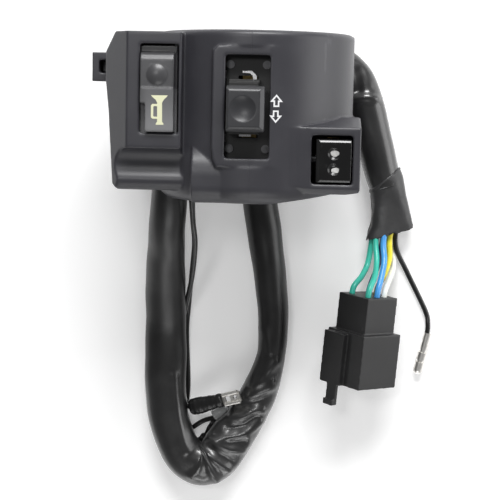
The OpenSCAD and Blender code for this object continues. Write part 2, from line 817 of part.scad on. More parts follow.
module turn_knob() {
    dish_r = 9;
    color([0.2, 0.2, 0.22]) at_slot() difference() {
        union() {
            translate([0, knob_y, 0]) intersection() {
                along_x(-knob_w / 2, knob_w / 2) knob_side();
                along_y(-knob_l / 2, knob_l / 2) knob_end();
            }
            // The skirt is notched underneath on the left, to pass over the rivets
            translate([-skirt_w / 2, -skirt_l / 2, skirt_z])
                cube([skirt_w / 2 + skirt_right, skirt_l, skirt_notch + 0.1]);
            translate([-skirt_left, -skirt_l / 2, skirt_z + skirt_notch])
                cube([skirt_left + skirt_right, skirt_l, skirt_top - skirt_z - skirt_notch + 0.1]);
            translate([-skirt_left, -skirt_l / 2 + 1, skirt_top - 0.1])
                cube([skirt_left + skirt_right - 0.4, skirt_l - 2, 1.2]);
        }
        translate([-1.1, knob_y, knob_top + dish_r - 1.1]) sphere(dish_r);
        translate([-neck_w / 2 - fit, -neck_l / 2 - fit, skirt_z - 1])
            cube([neck_w + 2 * fit, neck_l + 2 * fit, skirt_top - skirt_z + 2]);
    }
}

module turn_carrier() {
    color("white") at_slot() difference() {
        union() {
            translate([-carrier_w / 2, -carrier_l / 2, carrier_z])
                cube([carrier_w, carrier_l, carrier_top - carrier_z]);
            translate([-neck_w / 2, -neck_l / 2, carrier_top - 0.1])
                cube([neck_w, neck_l, skirt_top + 0.9 - carrier_top]);
        }
        rod_x(-carrier_w / 2 - 1, -carrier_w / 2 + pocket_len, 0, detent_z(), ball_r + run);
    }
}

// Height of the detent's axis: the middle of the carrier
function detent_z() = (carrier_z + carrier_top) / 2;

module turn_bridge() {
    color("goldenrod") at_slot()
        translate([-3.4, -5.4, carrier_z - bridge_t]) cube([6.8, 10.8, bridge_t]);
}

// The bright leaf under the knob's skirt, whose ends show in the slot
module turn_leaf_spring() {
    color("silver") at_slot() difference() {
        translate([0, 0, leaf_z]) linear_extrude(leaf_t) leaf_plan();
        translate([-neck_w / 2 - fit, -neck_l / 2 - fit, leaf_z - 1])
            cube([neck_w + 2 * fit, neck_l + 2 * fit, leaf_t + 2]);
    }
}

// Outline of the leaf: a plain tongue at one end and a hook at the other
module leaf_plan() {
    wide = skirt_w / 2 - 0.5;
    end = skirt_l / 2;
    polygon([[-wide, -end + 0.2], [-2.8, -end + 0.2], [-2.8, -end - 0.8], [1.2, -end - 0.8],
        [1.2, -end + 0.2], [wide, -end + 0.2], [wide, end - 0.2], [2.8, end - 0.2], [2.8, end + 1.2],
        [1.2, end + 2.8], [-2, end + 2.8], [-2, end + 2.2], [0.6, end + 2], [1.5, end + 1],
        [1.5, end - 0.2], [-wide, end - 0.2]]);
}

module detent_ball() {
    color("silver") at_slot() translate([ball_x, 0, detent_z()]) sphere(ball_r);
}

module detent_spring() {
    color("gray") at_slot() difference() {
        rod_x(ball_x + ball_r, -carrier_w / 2 + pocket_len, 0, detent_z(), ball_r - 0.1);
        rod_x(ball_x, -carrier_w / 2 + pocket_len + 1, 0, detent_z(), ball_r - 0.5);
    }
}

module horn_plate() {
    color("saddlebrown") difference() {
        box(cavity_left + 4, block_right - 1.2, cavity_bottom + fit, cavity_top - fit, plate_z, plate_top);
        for (x = plate_screw_x, y = plate_screw_y())
            rod_z(plate_z - 1, plate_top + 1, x, y, 0.9);
        for (sy = [-1, 1])
            translate([button_x - 1, button_y + sy * 2.4 - 1, plate_z - 1]) cube([2, 2, plate_t + 2]);
    }
}

// The plate's screws stand over the middle of each ledge
function plate_screw_y() = [cavity_bottom - 0.1 + ledge_w / 2, cavity_top + 0.1 - ledge_w / 2];

module horn_plate_screws() {
    color("silver") for (x = plate_screw_x, y = plate_screw_y()) {
        rod_z(plate_z - 3.4, plate_top + 0.1, x, y, 0.9 - fit);
        rod_z(plate_top, plate_top + 1, x, y, 1.2);
    }
}

module horn_contacts() {
    color("goldenrod") for (sy = [-1, 1]) {
        translate([button_x - 2, button_y + sy * 2.4 - 1.4, plate_top]) cube([4, 2.8, horn_contact_h]);
        translate([button_x - 1 + fit, button_y + sy * 2.4 - 1 + fit, plate_z - 3])
            cube([2 - 2 * fit, 2 - 2 * fit, plate_t + 3.1]);
    }
}

// Outline of the horn button from the side: a two-step bevel at the grip end and a step at the crease
module horn_button_side() {
    bevel = 0.7;
    bevel_drop = 2.1;
    edge = 1.6;
    edge_drop = 0.9;
    crease = button_y + 1.35;
    crease_run = 0.4;
    polygon([[button_y0, flange_top - 0.1], [button_y0, button_top - 1], [button_y0 + 0.5, button_top - 0.4],
        [crease, button_top], [crease + crease_run, button_upper], [button_y1 - bevel - edge, button_upper],
        [button_y1 - bevel, button_upper - edge_drop], [button_y1, button_upper - bevel_drop],
        [button_y1, flange_top - 0.1]]);
}

module horn_button() {
    dome_r = 6;
    dome_h = 1.1;
    dome_up = 5.8;
    color([0.16, 0.16, 0.17]) difference() {
        union() {
            along_x(button_x0, button_x1) horn_button_side();
            box(button_x0 - 1.6, button_x1 + 0.8, button_y0 - 1.4, button_y1 + 2.4,
                flange_top - flange_t, flange_top);
            rod_z(stem_end, flange_top - flange_t + 0.1, button_x, button_y, stem_r);
            intersection() {
                translate([button_x, button_y + dome_up, button_upper + dome_h - dome_r]) sphere(dome_r);
                box(button_x0, button_x1, button_y0, button_y1, flange_top - 0.5, big);
            }
        }
        // The step along the lower left side
        box(button_x0 - 0.1, button_x0 + 1.7, button_y0 - 0.1, button_y - 3.6, flange_top, button_top + 1);
    }
}

module horn_bridge() {
    color("goldenrod") rod_z(stem_end - horn_bridge_t, stem_end, button_x, button_y, stem_r - 0.1);
}

// Coil spring round the button's stem, as one helix with flat rings at both ends
module horn_spring() {
    low = plate_top + spring_wire_r + 0.02;
    high = flange_top - flange_t - spring_wire_r - 0.02;
    steps = 8 * spring_turns;
    helix = [for (i = [0 : steps]) let (a = 360 * spring_turns * i / steps)
        [button_x + spring_coil_r * cos(a), button_y + spring_coil_r * sin(a),
            low + (high - low) * i / steps]];
    pitch = (high - low) / spring_turns;
    echo(least_gap_of_horn_spring = pitch - 2 * spring_wire_r);
    color("silver") tube(helix, 2 * spring_wire_r, 6);
}

module dimmer_base() {
    color("peru") difference() {
        union() {
            translate([rocker_x - dim_base_w / 2, dim_y - dim_base_l / 2, cavity_floor])
                cube([dim_base_w, dim_base_l, dim_base_h]);
            along_x(rocker_x - blade_w / 2, rocker_x + blade_w / 2)
                polygon([[dim_y - 1.4, dim_base_top - 0.1], [dim_y, blade_pivot - bead_r - run],
                    [dim_y + 1.4, dim_base_top - 0.1]]);
        }
        for (sx = [-1, 1])
            rod_z(cavity_floor - 1, dim_base_top + 1, rocker_x + sx * dim_base_screw, dim_y, 1.1 + fit);
        for (sy = [-1, 1])
            translate([rocker_x - 0.6, dim_y + sy * dim_contact_y - 0.6, cavity_floor - 1])
                cube([1.2, 1.2, dim_base_h + 2]);
    }
}

module dimmer_base_screws() {
    color("silver") for (sx = [-1, 1]) {
        rod_z(cavity_floor - 5, dim_base_top + 0.1, rocker_x + sx * dim_base_screw, dim_y, 1.1);
        rod_z(dim_base_top, dim_base_top + 1.2, rocker_x + sx * dim_base_screw, dim_y, 1.8);
    }
}

module dimmer_contacts() {
    reach = (blade_t / 2 + dim_contact_y * sin(dim_tilt * blade_ratio)) + 0.35;
    color("goldenrod") for (sy = [-1, 1]) {
        translate([rocker_x - 1.8, dim_y + sy * dim_contact_y - 1, dim_base_top])
            cube([3.6, 2, blade_pivot - reach - dim_base_top]);
        translate([rocker_x - 0.6 + fit, dim_y + sy * dim_contact_y - 0.6 + fit, cavity_floor + 0.4])
            cube([1.2 - 2 * fit, 1.2 - 2 * fit, dim_base_h]);
    }
}

module dimmer_pin() {
    color("silver") rod_x(dim_cavity_left + 0.4, dim_cavity_right + 1.2, dim_y, pivot_z, dim_pin_d / 2);
}

// Outline of the rocker about its pin: upright ends and bevelled corners
module rocker_side() {
    edge = 0.85;
    top_drop = 0.55;
    low_drop = 0.7;
    polygon([[-rocker_half + 0.4, -rocker_under], [-rocker_half, 0],
        [-rocker_half, rocker_top - 2 * low_drop],
        [-rocker_half + 0.15, rocker_top - low_drop], [-rocker_half + 0.15 + edge, rocker_top],
        [rocker_half - 0.15 - edge, rocker_top], [rocker_half - 0.15, rocker_top - top_drop],
        [rocker_half, rocker_top - 2 * top_drop], [rocker_half, 0], [rocker_half - 0.4, -rocker_under]]);
}

// Outline of the rocker seen along the bar: a broad bevel on the left
module rocker_end() {
    bevel = 1.4;
    polygon([[-rocker_w / 2, -rocker_under], [-rocker_w / 2, rocker_top - 0.8 * bevel],
        [-rocker_w / 2 + bevel, rocker_top], [rocker_w / 2, rocker_top], [rocker_w / 2, -rocker_under]]);
}

module dimmer_rocker() {
    dish_r = 2.6;
    dish_depth = 0.9;
    color([0.06, 0.06, 0.06]) at_rocker() difference() {
        union() {
            intersection() {
                along_x(-rocker_w / 2, rocker_w / 2) rocker_side();
                along_y(-rocker_half, rocker_half) rocker_end();
            }
            rod_z(-plunger_boss_end, -rocker_under + 0.1, 0, 0, plunger_r + 0.9);
        }
        rod_x(-big, big, 0, 0, dim_pin_d / 2 + run);
        rod_z(-plunger_boss_end - 1, -rocker_under + 0.2, 0, 0, plunger_r + run);
        for (sy = [-1, 1])
            translate([0, sy * dish_r, rocker_top + dish_r - dish_depth]) sphere(dish_r);
    }
}

module dimmer_plunger() {
    color("white") at_rocker() {
        rod_z(-plunger_tip, -6.5, 0, 0, plunger_r);
        translate([0, 0, -plunger_tip]) sphere(plunger_r);
    }
}

module plunger_spring() {
    color("silver") at_rocker() difference() {
        rod_z(-6.5, -rocker_under + 0.2, 0, 0, plunger_r - 0.1);
        rod_z(-7, -rocker_under + 1, 0, 0, plunger_r - 0.5);
    }
}

module dimmer_blade() {
    color("goldenrod") translate([rocker_x, dim_y, blade_pivot]) rotate([-dim_tilt * blade_ratio, 0, 0]) {
        cube([blade_w, blade_l, blade_t], center = true);
        // The bead that rocks on the base's crest
        intersection() {
            rod_x(-blade_w / 2, blade_w / 2, 0, 0, bead_r);
            box(-blade_w, blade_w, -big, big, -big, 0);
        }
    }
}

module sleeve_grommet() {
    color([0.05, 0.05, 0.05]) difference() {
        rod_y(block_bottom + 0.4, cavity_bottom - 0.4, exit_x, exit_z, grommet_r);
        rod_y(-big, big, exit_x, exit_z, sleeve_r + run);
    }
}

module harness_sleeve() {
    color([0.03, 0.03, 0.03]) tube(sleeve_route, sleeve_d, 12);
}

module harness_tape() {
    color([0.05, 0.05, 0.05]) swept(tape_route, tape_half_w, tape_half_h, 12);
}

module teal_wire_a() {
    color("darkcyan") tube(teal_a_route, wire_d, 8);
}

module teal_wire_b() {
    color("darkcyan") tube(teal_b_route, wire_d, 8);
}

module navy_wire() {
    color("midnightblue") tube(navy_route, wire_d, 8);
}

module blue_wire() {
    color("dodgerblue") tube(blue_route, wire_d, 8);
}

module yellow_wire() {
    color("yellow") tube(yellow_route, wire_d, 8);
}

module white_wire() {
    color("white") tube(white_route, wire_d, 8);
}

// Connector: a square wire end, a larger hood round the pins and a latch on one face
module connector_shell() {
    mouth = hood_side - 2 * hood_wall;
    latch_face = -hood_side / 2 - 2.2;
    color([0.08, 0.08, 0.08]) at_plug() difference() {
        union() {
            translate([-plug_side / 2, -plug_len - 0.1, -plug_side / 2])
                cube([plug_side, plug_len + 0.1, plug_side]);
            translate([-hood_side / 2, -plug_total, -hood_side / 2]) cube([hood_side, hood_len, hood_side]);
            // The raised side that the latch reaches out from, and the latch with its hooked end
            translate([latch_face, -plug_total, -hood_side / 2 + 0.4])
                cube([2.3, hood_len - 0.8, hood_side * 0.55]);
            translate([latch_face, -plug_total - latch_reach, latch_low])
                cube([latch_t, latch_reach + 0.1, latch_w]);
            translate([latch_face - 1.2, -plug_total - latch_reach, latch_low]) cube([2.6, 2.2, latch_w]);
        }
        translate([-mouth / 2, -plug_total - 1, -mouth / 2]) cube([mouth, mouth_depth + 1, mouth]);
    }
}

// Nine flat pins that stand on the hood's floor
module connector_pins() {
    floor_y = -plug_total + mouth_depth;
    color("silver") at_plug() for (u = [-1 : 1], v = [-1 : 1])
        translate([u * pin_pitch - blade_pin[1] / 2, floor_y - blade_pin[2],
            v * pin_pitch - blade_pin[0] / 2]) cube([blade_pin[1], blade_pin[2], blade_pin[0]]);
}

module bullet_lead() {
    color([0.05, 0.05, 0.05]) tube(bullet_route, lead_d, 8);
}

// Crimped bullet: a crimp round the lead's end, a neck and a grooved barrel with a round nose
module bullet_terminal() {
    end = bullet_route[len(bullet_route) - 1];
    barrel_r = bullet_d / 2;
    crimp_len = 5;
    neck_len = 1.2;
    groove_at = 9.2;
    groove_len = 0.9;
    nose_y = -bullet_len + barrel_r;
    color("silver") translate(end) rotate([0, 0, bullet_yaw]) {
        rod_y(-crimp_len, 1.5, 0, 0, barrel_r * 0.84);
        rod_y(nose_y, 0, 0, 0, barrel_r * 0.72);
        rod_y(-groove_at, -crimp_len - neck_len, 0, 0, barrel_r);
        rod_y(nose_y, -groove_at - groove_len, 0, 0, barrel_r);
        translate([0, nose_y, 0]) sphere(barrel_r);
    }
}

module clutch_lead_a() {
    color([0.04, 0.04, 0.04]) tube(lead_a_route, lead_d, 8);
}

module clutch_lead_b() {
    color([0.04, 0.04, 0.04]) tube(lead_b_route, lead_d, 8);
}

module lead_boot() {
    start = lead_a_route[len(lead_a_route) - 1];
    color([0.03, 0.03, 0.03]) tube([start, (start + boot_end) / 2, boot_end], boot_d, 10);
}

// Bare receptacle beyond the boot: a flat floor with a slot and a hole, and two rolled edges
module spade_terminal() {
    start = lead_a_route[len(lead_a_route) - 1];
    run_dir = unit(boot_end - start);
    turn = atan2(run_dir[1], run_dir[0]);
    rise = asin(run_dir[2]);
    color("silver") translate(boot_end) rotate([0, -rise, turn]) {
        difference() {
            translate([0, -2, -0.4]) cube([7.5, 4, 0.8]);
            translate([1.3, -1, -1]) cube([2, 2, 2]);
            translate([5.4, 0, -1]) cylinder(r = 0.8, h = 2);
        }
        for (sy = [-1, 1])
            rod_x(0.8, 7.2, sy * 1.9, 0.7, 0.8);
    }
}

// Clear cover over the second lead's terminal
module spade_cover() {
    start = lead_b_route[len(lead_b_route) - 1];
    color([0.8, 0.8, 0.8])
        swept([start, (start + cover_end) / 2, cover_end], cover_half_w, cover_half_h, 10);
}

lower_case();
upper_case();
case_screws();
turn_base();
turn_base_screws();
turn_contacts();
turn_guide();
turn_rivets();
turn_knob();
turn_carrier();
turn_bridge();
turn_leaf_spring();
detent_ball();
detent_spring();
horn_plate();
horn_plate_screws();
horn_contacts();
horn_button();
horn_bridge();
horn_spring();
dimmer_base();
dimmer_base_screws();
dimmer_contacts();
dimmer_pin();
dimmer_rocker();
dimmer_plunger();
plunger_spring();
dimmer_blade();
sleeve_grommet();
harness_sleeve();
harness_tape();
teal_wire_a();
teal_wire_b();
navy_wire();
blue_wire();
yellow_wire();
white_wire();
connector_shell();
connector_pins();
bullet_lead();
bullet_terminal();
clutch_lead_a();
clutch_lead_b();
lead_boot();
spade_terminal();
spade_cover();
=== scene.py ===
# %% [markdown]
# # A handlebar switch cluster
# This lesson dresses a motorbike's left handlebar switch: a split plastic housing with three
# switches, and the harness that leaves it. The solids come from the part's own source, in metres.
# Every finish and every soft piece is made here, in the same frame, so nothing has to be fitted.

# %% Load the frame
import json
import math

import bmesh
import bpy
import numpy as np
from mathutils import Matrix, Vector


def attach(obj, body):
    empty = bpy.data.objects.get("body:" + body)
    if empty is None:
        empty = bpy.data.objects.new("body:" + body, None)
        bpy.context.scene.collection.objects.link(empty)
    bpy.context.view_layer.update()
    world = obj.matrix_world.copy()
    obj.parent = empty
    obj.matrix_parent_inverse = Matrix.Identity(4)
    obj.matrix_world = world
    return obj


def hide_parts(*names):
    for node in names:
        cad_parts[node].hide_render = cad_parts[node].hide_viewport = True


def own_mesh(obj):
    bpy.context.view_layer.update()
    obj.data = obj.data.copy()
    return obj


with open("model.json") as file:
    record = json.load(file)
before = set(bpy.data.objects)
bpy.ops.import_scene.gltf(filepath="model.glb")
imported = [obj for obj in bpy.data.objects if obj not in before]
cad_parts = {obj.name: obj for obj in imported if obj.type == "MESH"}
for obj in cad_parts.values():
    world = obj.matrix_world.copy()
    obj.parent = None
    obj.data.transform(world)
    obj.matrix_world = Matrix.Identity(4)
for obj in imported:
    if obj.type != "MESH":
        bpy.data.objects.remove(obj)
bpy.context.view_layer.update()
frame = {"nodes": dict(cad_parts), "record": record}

MM = 0.001

# %% [markdown]
# ## The camera
# The picture was taken from about half a metre above the housing, a little to its right, and aimed
# at the middle of the whole thing. A constraint could aim the camera, but a matrix built from three
# directions also takes the small roll of a camera held by hand.

# %% Camera
CAMERA_AT = Vector((21.5, 8.0, 484.3)) * MM
AIMED_AT = Vector((0.8, -43.9, 34.3)) * MM
ROLL = math.radians(1.2)
LENS_MM = 97.7
SENSOR_MM = 36
NEAREST_SEEN = 0.01


def look_matrix(place, target, roll):
    """The matrix of a camera or lamp at place that looks at target, with +Y upwards in its picture."""
    ahead = (target - place).normalized()
    right = ahead.cross(Vector((0, 1, 0))).normalized()
    above = right.cross(ahead)
    turned = math.cos(roll) * right + math.sin(roll) * above
    upright = math.cos(roll) * above - math.sin(roll) * right
    columns = Matrix((turned, upright, -ahead)).transposed()
    return Matrix.Translation(place) @ columns.to_4x4()


def put_in_scene(name, data):
    """A new object in the scene, made of a mesh, a lamp or a lens."""
    made = bpy.data.objects.new(name, data)
    bpy.context.scene.collection.objects.link(made)
    return made


lens = bpy.data.cameras.new("camera")
lens.lens = LENS_MM
lens.sensor_width = SENSOR_MM
lens.clip_start = NEAREST_SEEN
camera = put_in_scene("camera", lens)
camera.matrix_world = look_matrix(CAMERA_AT, AIMED_AT, ROLL)
bpy.context.scene.camera = camera
print("camera distance (m):", round((CAMERA_AT - AIMED_AT).length, 3))

# %% [markdown]
# ## Node expressions
# A material is a network of nodes. Writing it as arithmetic is easier to read than wiring it, so one
# small class wraps a socket and turns each operator into a Math node. Every other kind of node comes
# from one method, which sets the node's options first and then its sockets.

# %% Sockets that take arithmetic


class Reading:
    """One output of some nodes, on which Python's operators work."""

    def __init__(self, network, socket):
        self.network = network
        self.socket = socket

    def math(self, operation, first, second):
        return self.network.node("Math", {"operation": operation}, {0: first, 1: second})

    def __add__(self, other):
        return self.math("ADD", self, other)

    def __radd__(self, other):
        return self.math("ADD", other, self)

    def __sub__(self, other):
        return self.math("SUBTRACT", self, other)

    def __rsub__(self, other):
        return self.math("SUBTRACT", other, self)

    def __mul__(self, other):
        return self.math("MULTIPLY", self, other)

    def __rmul__(self, other):
        return self.math("MULTIPLY", other, self)

    def ease(self, low, high):
        """0 below low, 1 above high and a smooth step between."""
        options = {"interpolation_type": "SMOOTHSTEP"}
        return self.network.node("MapRange", options, {"Value": self, "From Min": low, "From Max": high})


# %% Networks and finishes


class Network:
    """The nodes of a material or of the world."""

    def __init__(self, tree):
        self.tree = tree

    def node(self, kind, options=None, sockets=None, out=0):
        made = self.tree.nodes.new("ShaderNode" + kind)
        for name, value in (options or {}).items():
            setattr(made, name, value)
        for key, value in (sockets or {}).items():
            if isinstance(value, Reading):
                self.tree.links.new(value.socket, made.inputs[key])
            else:
                made.inputs[key].default_value = value
        return Reading(self, made.outputs[out])

    def blend(self, share, first, second):
        return self.node("Mix", {"data_type": "RGBA"}, {0: share, 6: first, 7: second}, out=2)


class Finish(Network):
    """A material with its shader, and the place on the object as a texture coordinate."""

    def __init__(self, name, constants):
        self.name = name
        self.material = bpy.data.materials.new(name)
        self.material.use_nodes = True
        super().__init__(self.material.node_tree)
        self.shader = self.tree.nodes["Principled BSDF"]
        for socket, value in constants.items():
            self.shader.inputs[socket].default_value = value
        self.place = self.node("TexCoord", out="Object")

    def noise(self, size_mm, detail=2.0):
        """Cloudy noise whose blotches are about size_mm across."""
        scale = 1.0 / (size_mm * MM)
        return self.node("TexNoise", None, {"Vector": self.place, "Scale": scale, "Detail": detail})

    def rise(self, axis, low_mm, high_mm):
        """0 before one place along an axis of the object and 1 after another, with a smooth step."""
        along = self.node("SeparateXYZ", None, {0: self.place}, out=axis)
        return along.ease(low_mm * MM, high_mm * MM)

    def feed(self, socket, reading):
        self.tree.links.new(reading.socket, self.shader.inputs[socket])

    def relief(self, height, depth_mm):
        """Bumps of a depth in millimetres, from a height that runs from 0 to 1."""
        self.feed("Normal", self.node("Bump", None, {"Strength": 1.0, "Distance": depth_mm * MM,
                                                     "Height": height}))


def shaded(colour, factor, lift=0.0):
    """A colour made paler or darker."""
    return tuple(c * factor + lift for c in colour[:3]) + (1.0,)


def grey(level):
    return (level, level, level * 1.03, 1.0)


# %% [markdown]
# ## Routes of the harness
# The sleeve, wires and leads are soft, so their solids are only stand-ins. Here each one follows the
# same given points, in millimetres, on a smooth curve through all of them. A Catmull-Rom curve
# passes through its points, which a plain spline would not.

# %% Smooth paths
FINE_STEPS = 40
FEWEST_STEPS = 8


def smooth_path(points, step):
    """Points in millimetres, evenly spaced along a smooth curve through the given ones."""
    given = np.array(points, float)
    ends = np.vstack([2 * given[0] - given[1], given, 2 * given[-1] - given[-2]])
    t = np.linspace(0, 1, FINE_STEPS, endpoint=False)[:, None]
    fine = []
    for i in range(1, len(ends) - 2):
        a, b, c, d = ends[i - 1:i + 3]
        fine.append(0.5 * (2 * b + (c - a) * t + (2 * a - 5 * b + 4 * c - d) * t ** 2
                           + (3 * b - 3 * c + d - a) * t ** 3))
    fine = np.vstack(fine + [given[-1:]])
    along = np.concatenate([[0], np.cumsum(np.linalg.norm(np.diff(fine, axis=0), axis=1))])
    count = max(int(along[-1] / step), FEWEST_STEPS)
    even = np.linspace(0, along[-1], count + 1)
    return np.column_stack([np.interp(even, along, fine[:, k]) for k in range(3)])


def path_length(path):
    return float(np.linalg.norm(np.diff(path, axis=0), axis=1).sum())


def path_directions(path):
    """Heading, sideways and upwards directions at every point of a path."""
    ahead = np.gradient(path, axis=0)
    ahead /= np.linalg.norm(ahead, axis=1)[:, None]
    side = np.cross(ahead, [0, 0, 1])
    side /= np.linalg.norm(side, axis=1)[:, None]
    return ahead, side, np.cross(side, ahead)


# %% [markdown]
# ## Tubes
# Blender's curves can be given a round bevel, but these tubes are flattened, swollen and folded, so
# each is a mesh: a ring of points at every place on its path, joined by quads. No point of a tube
# goes below the table that the harness lies on.

# %% Meshes and tubes
TABLE = -32.3
ABOVE_TABLE = 0.02


def new_object(name, verts_mm, faces, finish, smooth=True):
    """A mesh object from points in millimetres."""
    mesh = bpy.data.meshes.new(name)
    mesh.from_pydata([tuple(v) for v in np.asarray(verts_mm) * MM], [], faces)
    mesh.validate()
    mesh.polygons.foreach_set("use_smooth", [smooth] * len(mesh.polygons))
    mesh.materials.append(finish.material)
    return put_in_scene(name, mesh)


def grid_faces(rows, around):
    """Quads over rows of points that close on themselves, and a cap at each end."""
    faces = []
    for i in range(rows - 1):
        for k in range(around):
            n = (k + 1) % around
            faces.append((i * around + k, i * around + n, (i + 1) * around + n, (i + 1) * around + k))
    faces.append(tuple(range(around - 1, -1, -1)))
    faces.append(tuple(range((rows - 1) * around, rows * around)))
    return faces


def round_angles(count):
    return np.linspace(0, 2 * math.pi, count, endpoint=False)


def unevenness(along, angle, waves):
    """A factor near 1 from waves, each with its size, its rate along a tube and its turns round it."""
    factor = 1
    for size, rate, turns in waves:
        factor = factor + size * np.sin(along * rate + turns * angle)
    return factor


def tube(name, path, half_wide, half_high, around, finish, swell=1.0, drift=None):
    """A closed tube along a path. swell is a factor for each place along it and angle round it, and
    drift moves those places along the tube, in millimetres."""
    ahead, side, above = path_directions(path)
    angle = round_angles(around)
    wide = np.broadcast_to(half_wide, len(path))[:, None] * np.cos(angle) * swell
    high = np.broadcast_to(half_high, len(path))[:, None] * np.sin(angle) * swell
    places = path[:, None] + side[:, None] * wide[..., None] + above[:, None] * high[..., None]
    if drift is not None:
        places = places + ahead[:, None] * drift[..., None]
    places[..., 2] = np.maximum(places[..., 2], TABLE + ABOVE_TABLE)
    return new_object(name, places.reshape(-1, 3), grid_faces(len(path), around), finish)


def stand_for(piece, node, body="cluster"):
    """Put a piece in a solid's place: it rides on the solid's body, and the solid is hidden."""
    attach(piece, body)
    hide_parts(node)


# %% [markdown]
# ## Vinyl
# The sleeve is soft black vinyl tube, with blotches, dull scuffs and fine wrinkles. The wires are the
# same stuff in other colours. The scuffs vary the roughness, so the highlight breaks up as it does on
# the real tube. Where the sleeve is stretched it shines, and a clear coat over the vinyl gives that.

# %% Vinyl finishes
BLOTCH_MM = 9.0
SCUFF_MM = 1.1


def vinyl(name, colour, rough, scuff=0.12, wrinkle_mm=0.05, tint=0.25):
    """Soft plastic with scuffs, slight colour drift and shallow wrinkles."""
    made = Finish(name, {"Roughness": rough, "IOR": 1.5, "Specular IOR Level": 0.5})
    broad = made.noise(BLOTCH_MM, 3.0)
    fine = made.noise(SCUFF_MM, 3.0)
    paler = shaded(colour, 1 + tint, 0.004)
    made.feed("Base Color", made.blend(broad.ease(0.35, 0.75), colour, paler))
    made.feed("Roughness", rough + scuff * (fine.ease(0.5, 0.75) - 0.4) + 0.08 * broad)
    made.relief(broad * 0.7 + fine * 0.3, wrinkle_mm)
    return made


black_vinyl = vinyl("black_vinyl", grey(0.007), 0.3)
teal_vinyl = vinyl("teal_vinyl", (0.04, 0.46, 0.35, 1), 0.32)
navy_vinyl = vinyl("navy_vinyl", (0.012, 0.02, 0.13, 1), 0.32)
blue_vinyl = vinyl("blue_vinyl", (0.06, 0.3, 0.68, 1), 0.3)
yellow_vinyl = vinyl("yellow_vinyl", (0.85, 0.74, 0.05, 1), 0.32, tint=0.05)
white_vinyl = vinyl("white_vinyl", (0.72, 0.74, 0.7, 1), 0.34, tint=0.05)
print("nodes in a wire's finish:", len(teal_vinyl.tree.nodes))

# %% Sleeve finish
# The sleeve is stretched round its loop, low in Y, and at its far end, high in X
LOOP_FROM, LOOP_TO = -92, -112
END_FROM, END_TO = 30, 40
STRETCH_GLOSS = 0.9
sleeve_vinyl = vinyl("sleeve_vinyl", grey(0.009), 0.34, 0.04, 0.03)
sleeve_vinyl.shader.inputs["Coat Roughness"].default_value = 0.22
strand = sleeve_vinyl.rise("Y", LOOP_TO, LOOP_FROM)
far_end = sleeve_vinyl.rise("X", END_FROM, END_TO)
sleeve_vinyl.feed("Coat Weight", STRETCH_GLOSS - STRETCH_GLOSS * strand * (1 - far_end))
print("nodes in the sleeve's finish:", len(sleeve_vinyl.tree.nodes))

# %% [markdown]
# ## The harness sleeve
# The tube leaves the housing, sinks to the table, turns a tight loop and goes back under the housing.
# A thin tube flattens as it lies, so its width and height change along the way. In the bend it
# buckles: sharp folds run slantwise round it. Each fold is a line drawn on the tube, from which
# the skin rises or sinks. The folds are in the mesh and not in a bump, because they catch the light.

# %% Route of the sleeve
SLEEVE_D = 13.0
SLEEVE_R = SLEEVE_D / 2
SLEEVE_LIE = -25.8
sinking = [(-29.8, -22, 1), (-29.8, -26, 1), (-31, -38, -2.6), (-32.3, -51, -11.4), (-33.2, -64, -18.8),
           (-33.5, -78, -24)]
lying = [(-33.6, -92), (-33.4, -108), (-31.8, -119), (-28.8, -127.6), (-24.6, -133.4), (-19.2, -136),
         (-13.6, -134), (-9.2, -128.4), (-4.8, -119.6), (3.6, -103), (7, -90), (7.4, -76), (5.8, -60),
         (0.8, -28), (-1, -13), (0, 1), (5.4, 12.4), (14.6, 19.4), (25, 20.6), (33.4, 16.6), (38.8, 8),
         (46, -17.4), (48.8, -25.6)]
sleeve_points = sinking + [(x, y, SLEEVE_LIE) for x, y in lying]
# Half widths at millimetres along the sleeve, and how much further the loop's inner side swells
HALF_WIDTHS = [(0, 6.1), (7, 6.4), (22, 6.7), (51, 7.5), (73, 7.9), (98, 7.7), (112, 7.0), (128, 7.1),
               (140, 7.5), (152, 7.7), (163, 7.2), (172, 6.2), (181, 5.4), (195, 5.7), (211, 6.2),
               (228, 6.5), (261, 6.4), (290, 6.7), (326, 7.0), (363, 6.4)]
INNER_SWELL = [(0, 1), (91, 1.02), (112, 1.2), (125, 1.38), (138, 1.34), (147, 1.2), (152, 0.92),
               (161, 0.9), (168, 1), (363, 1)]
print("points on the sleeve's route:", len(sleeve_points))

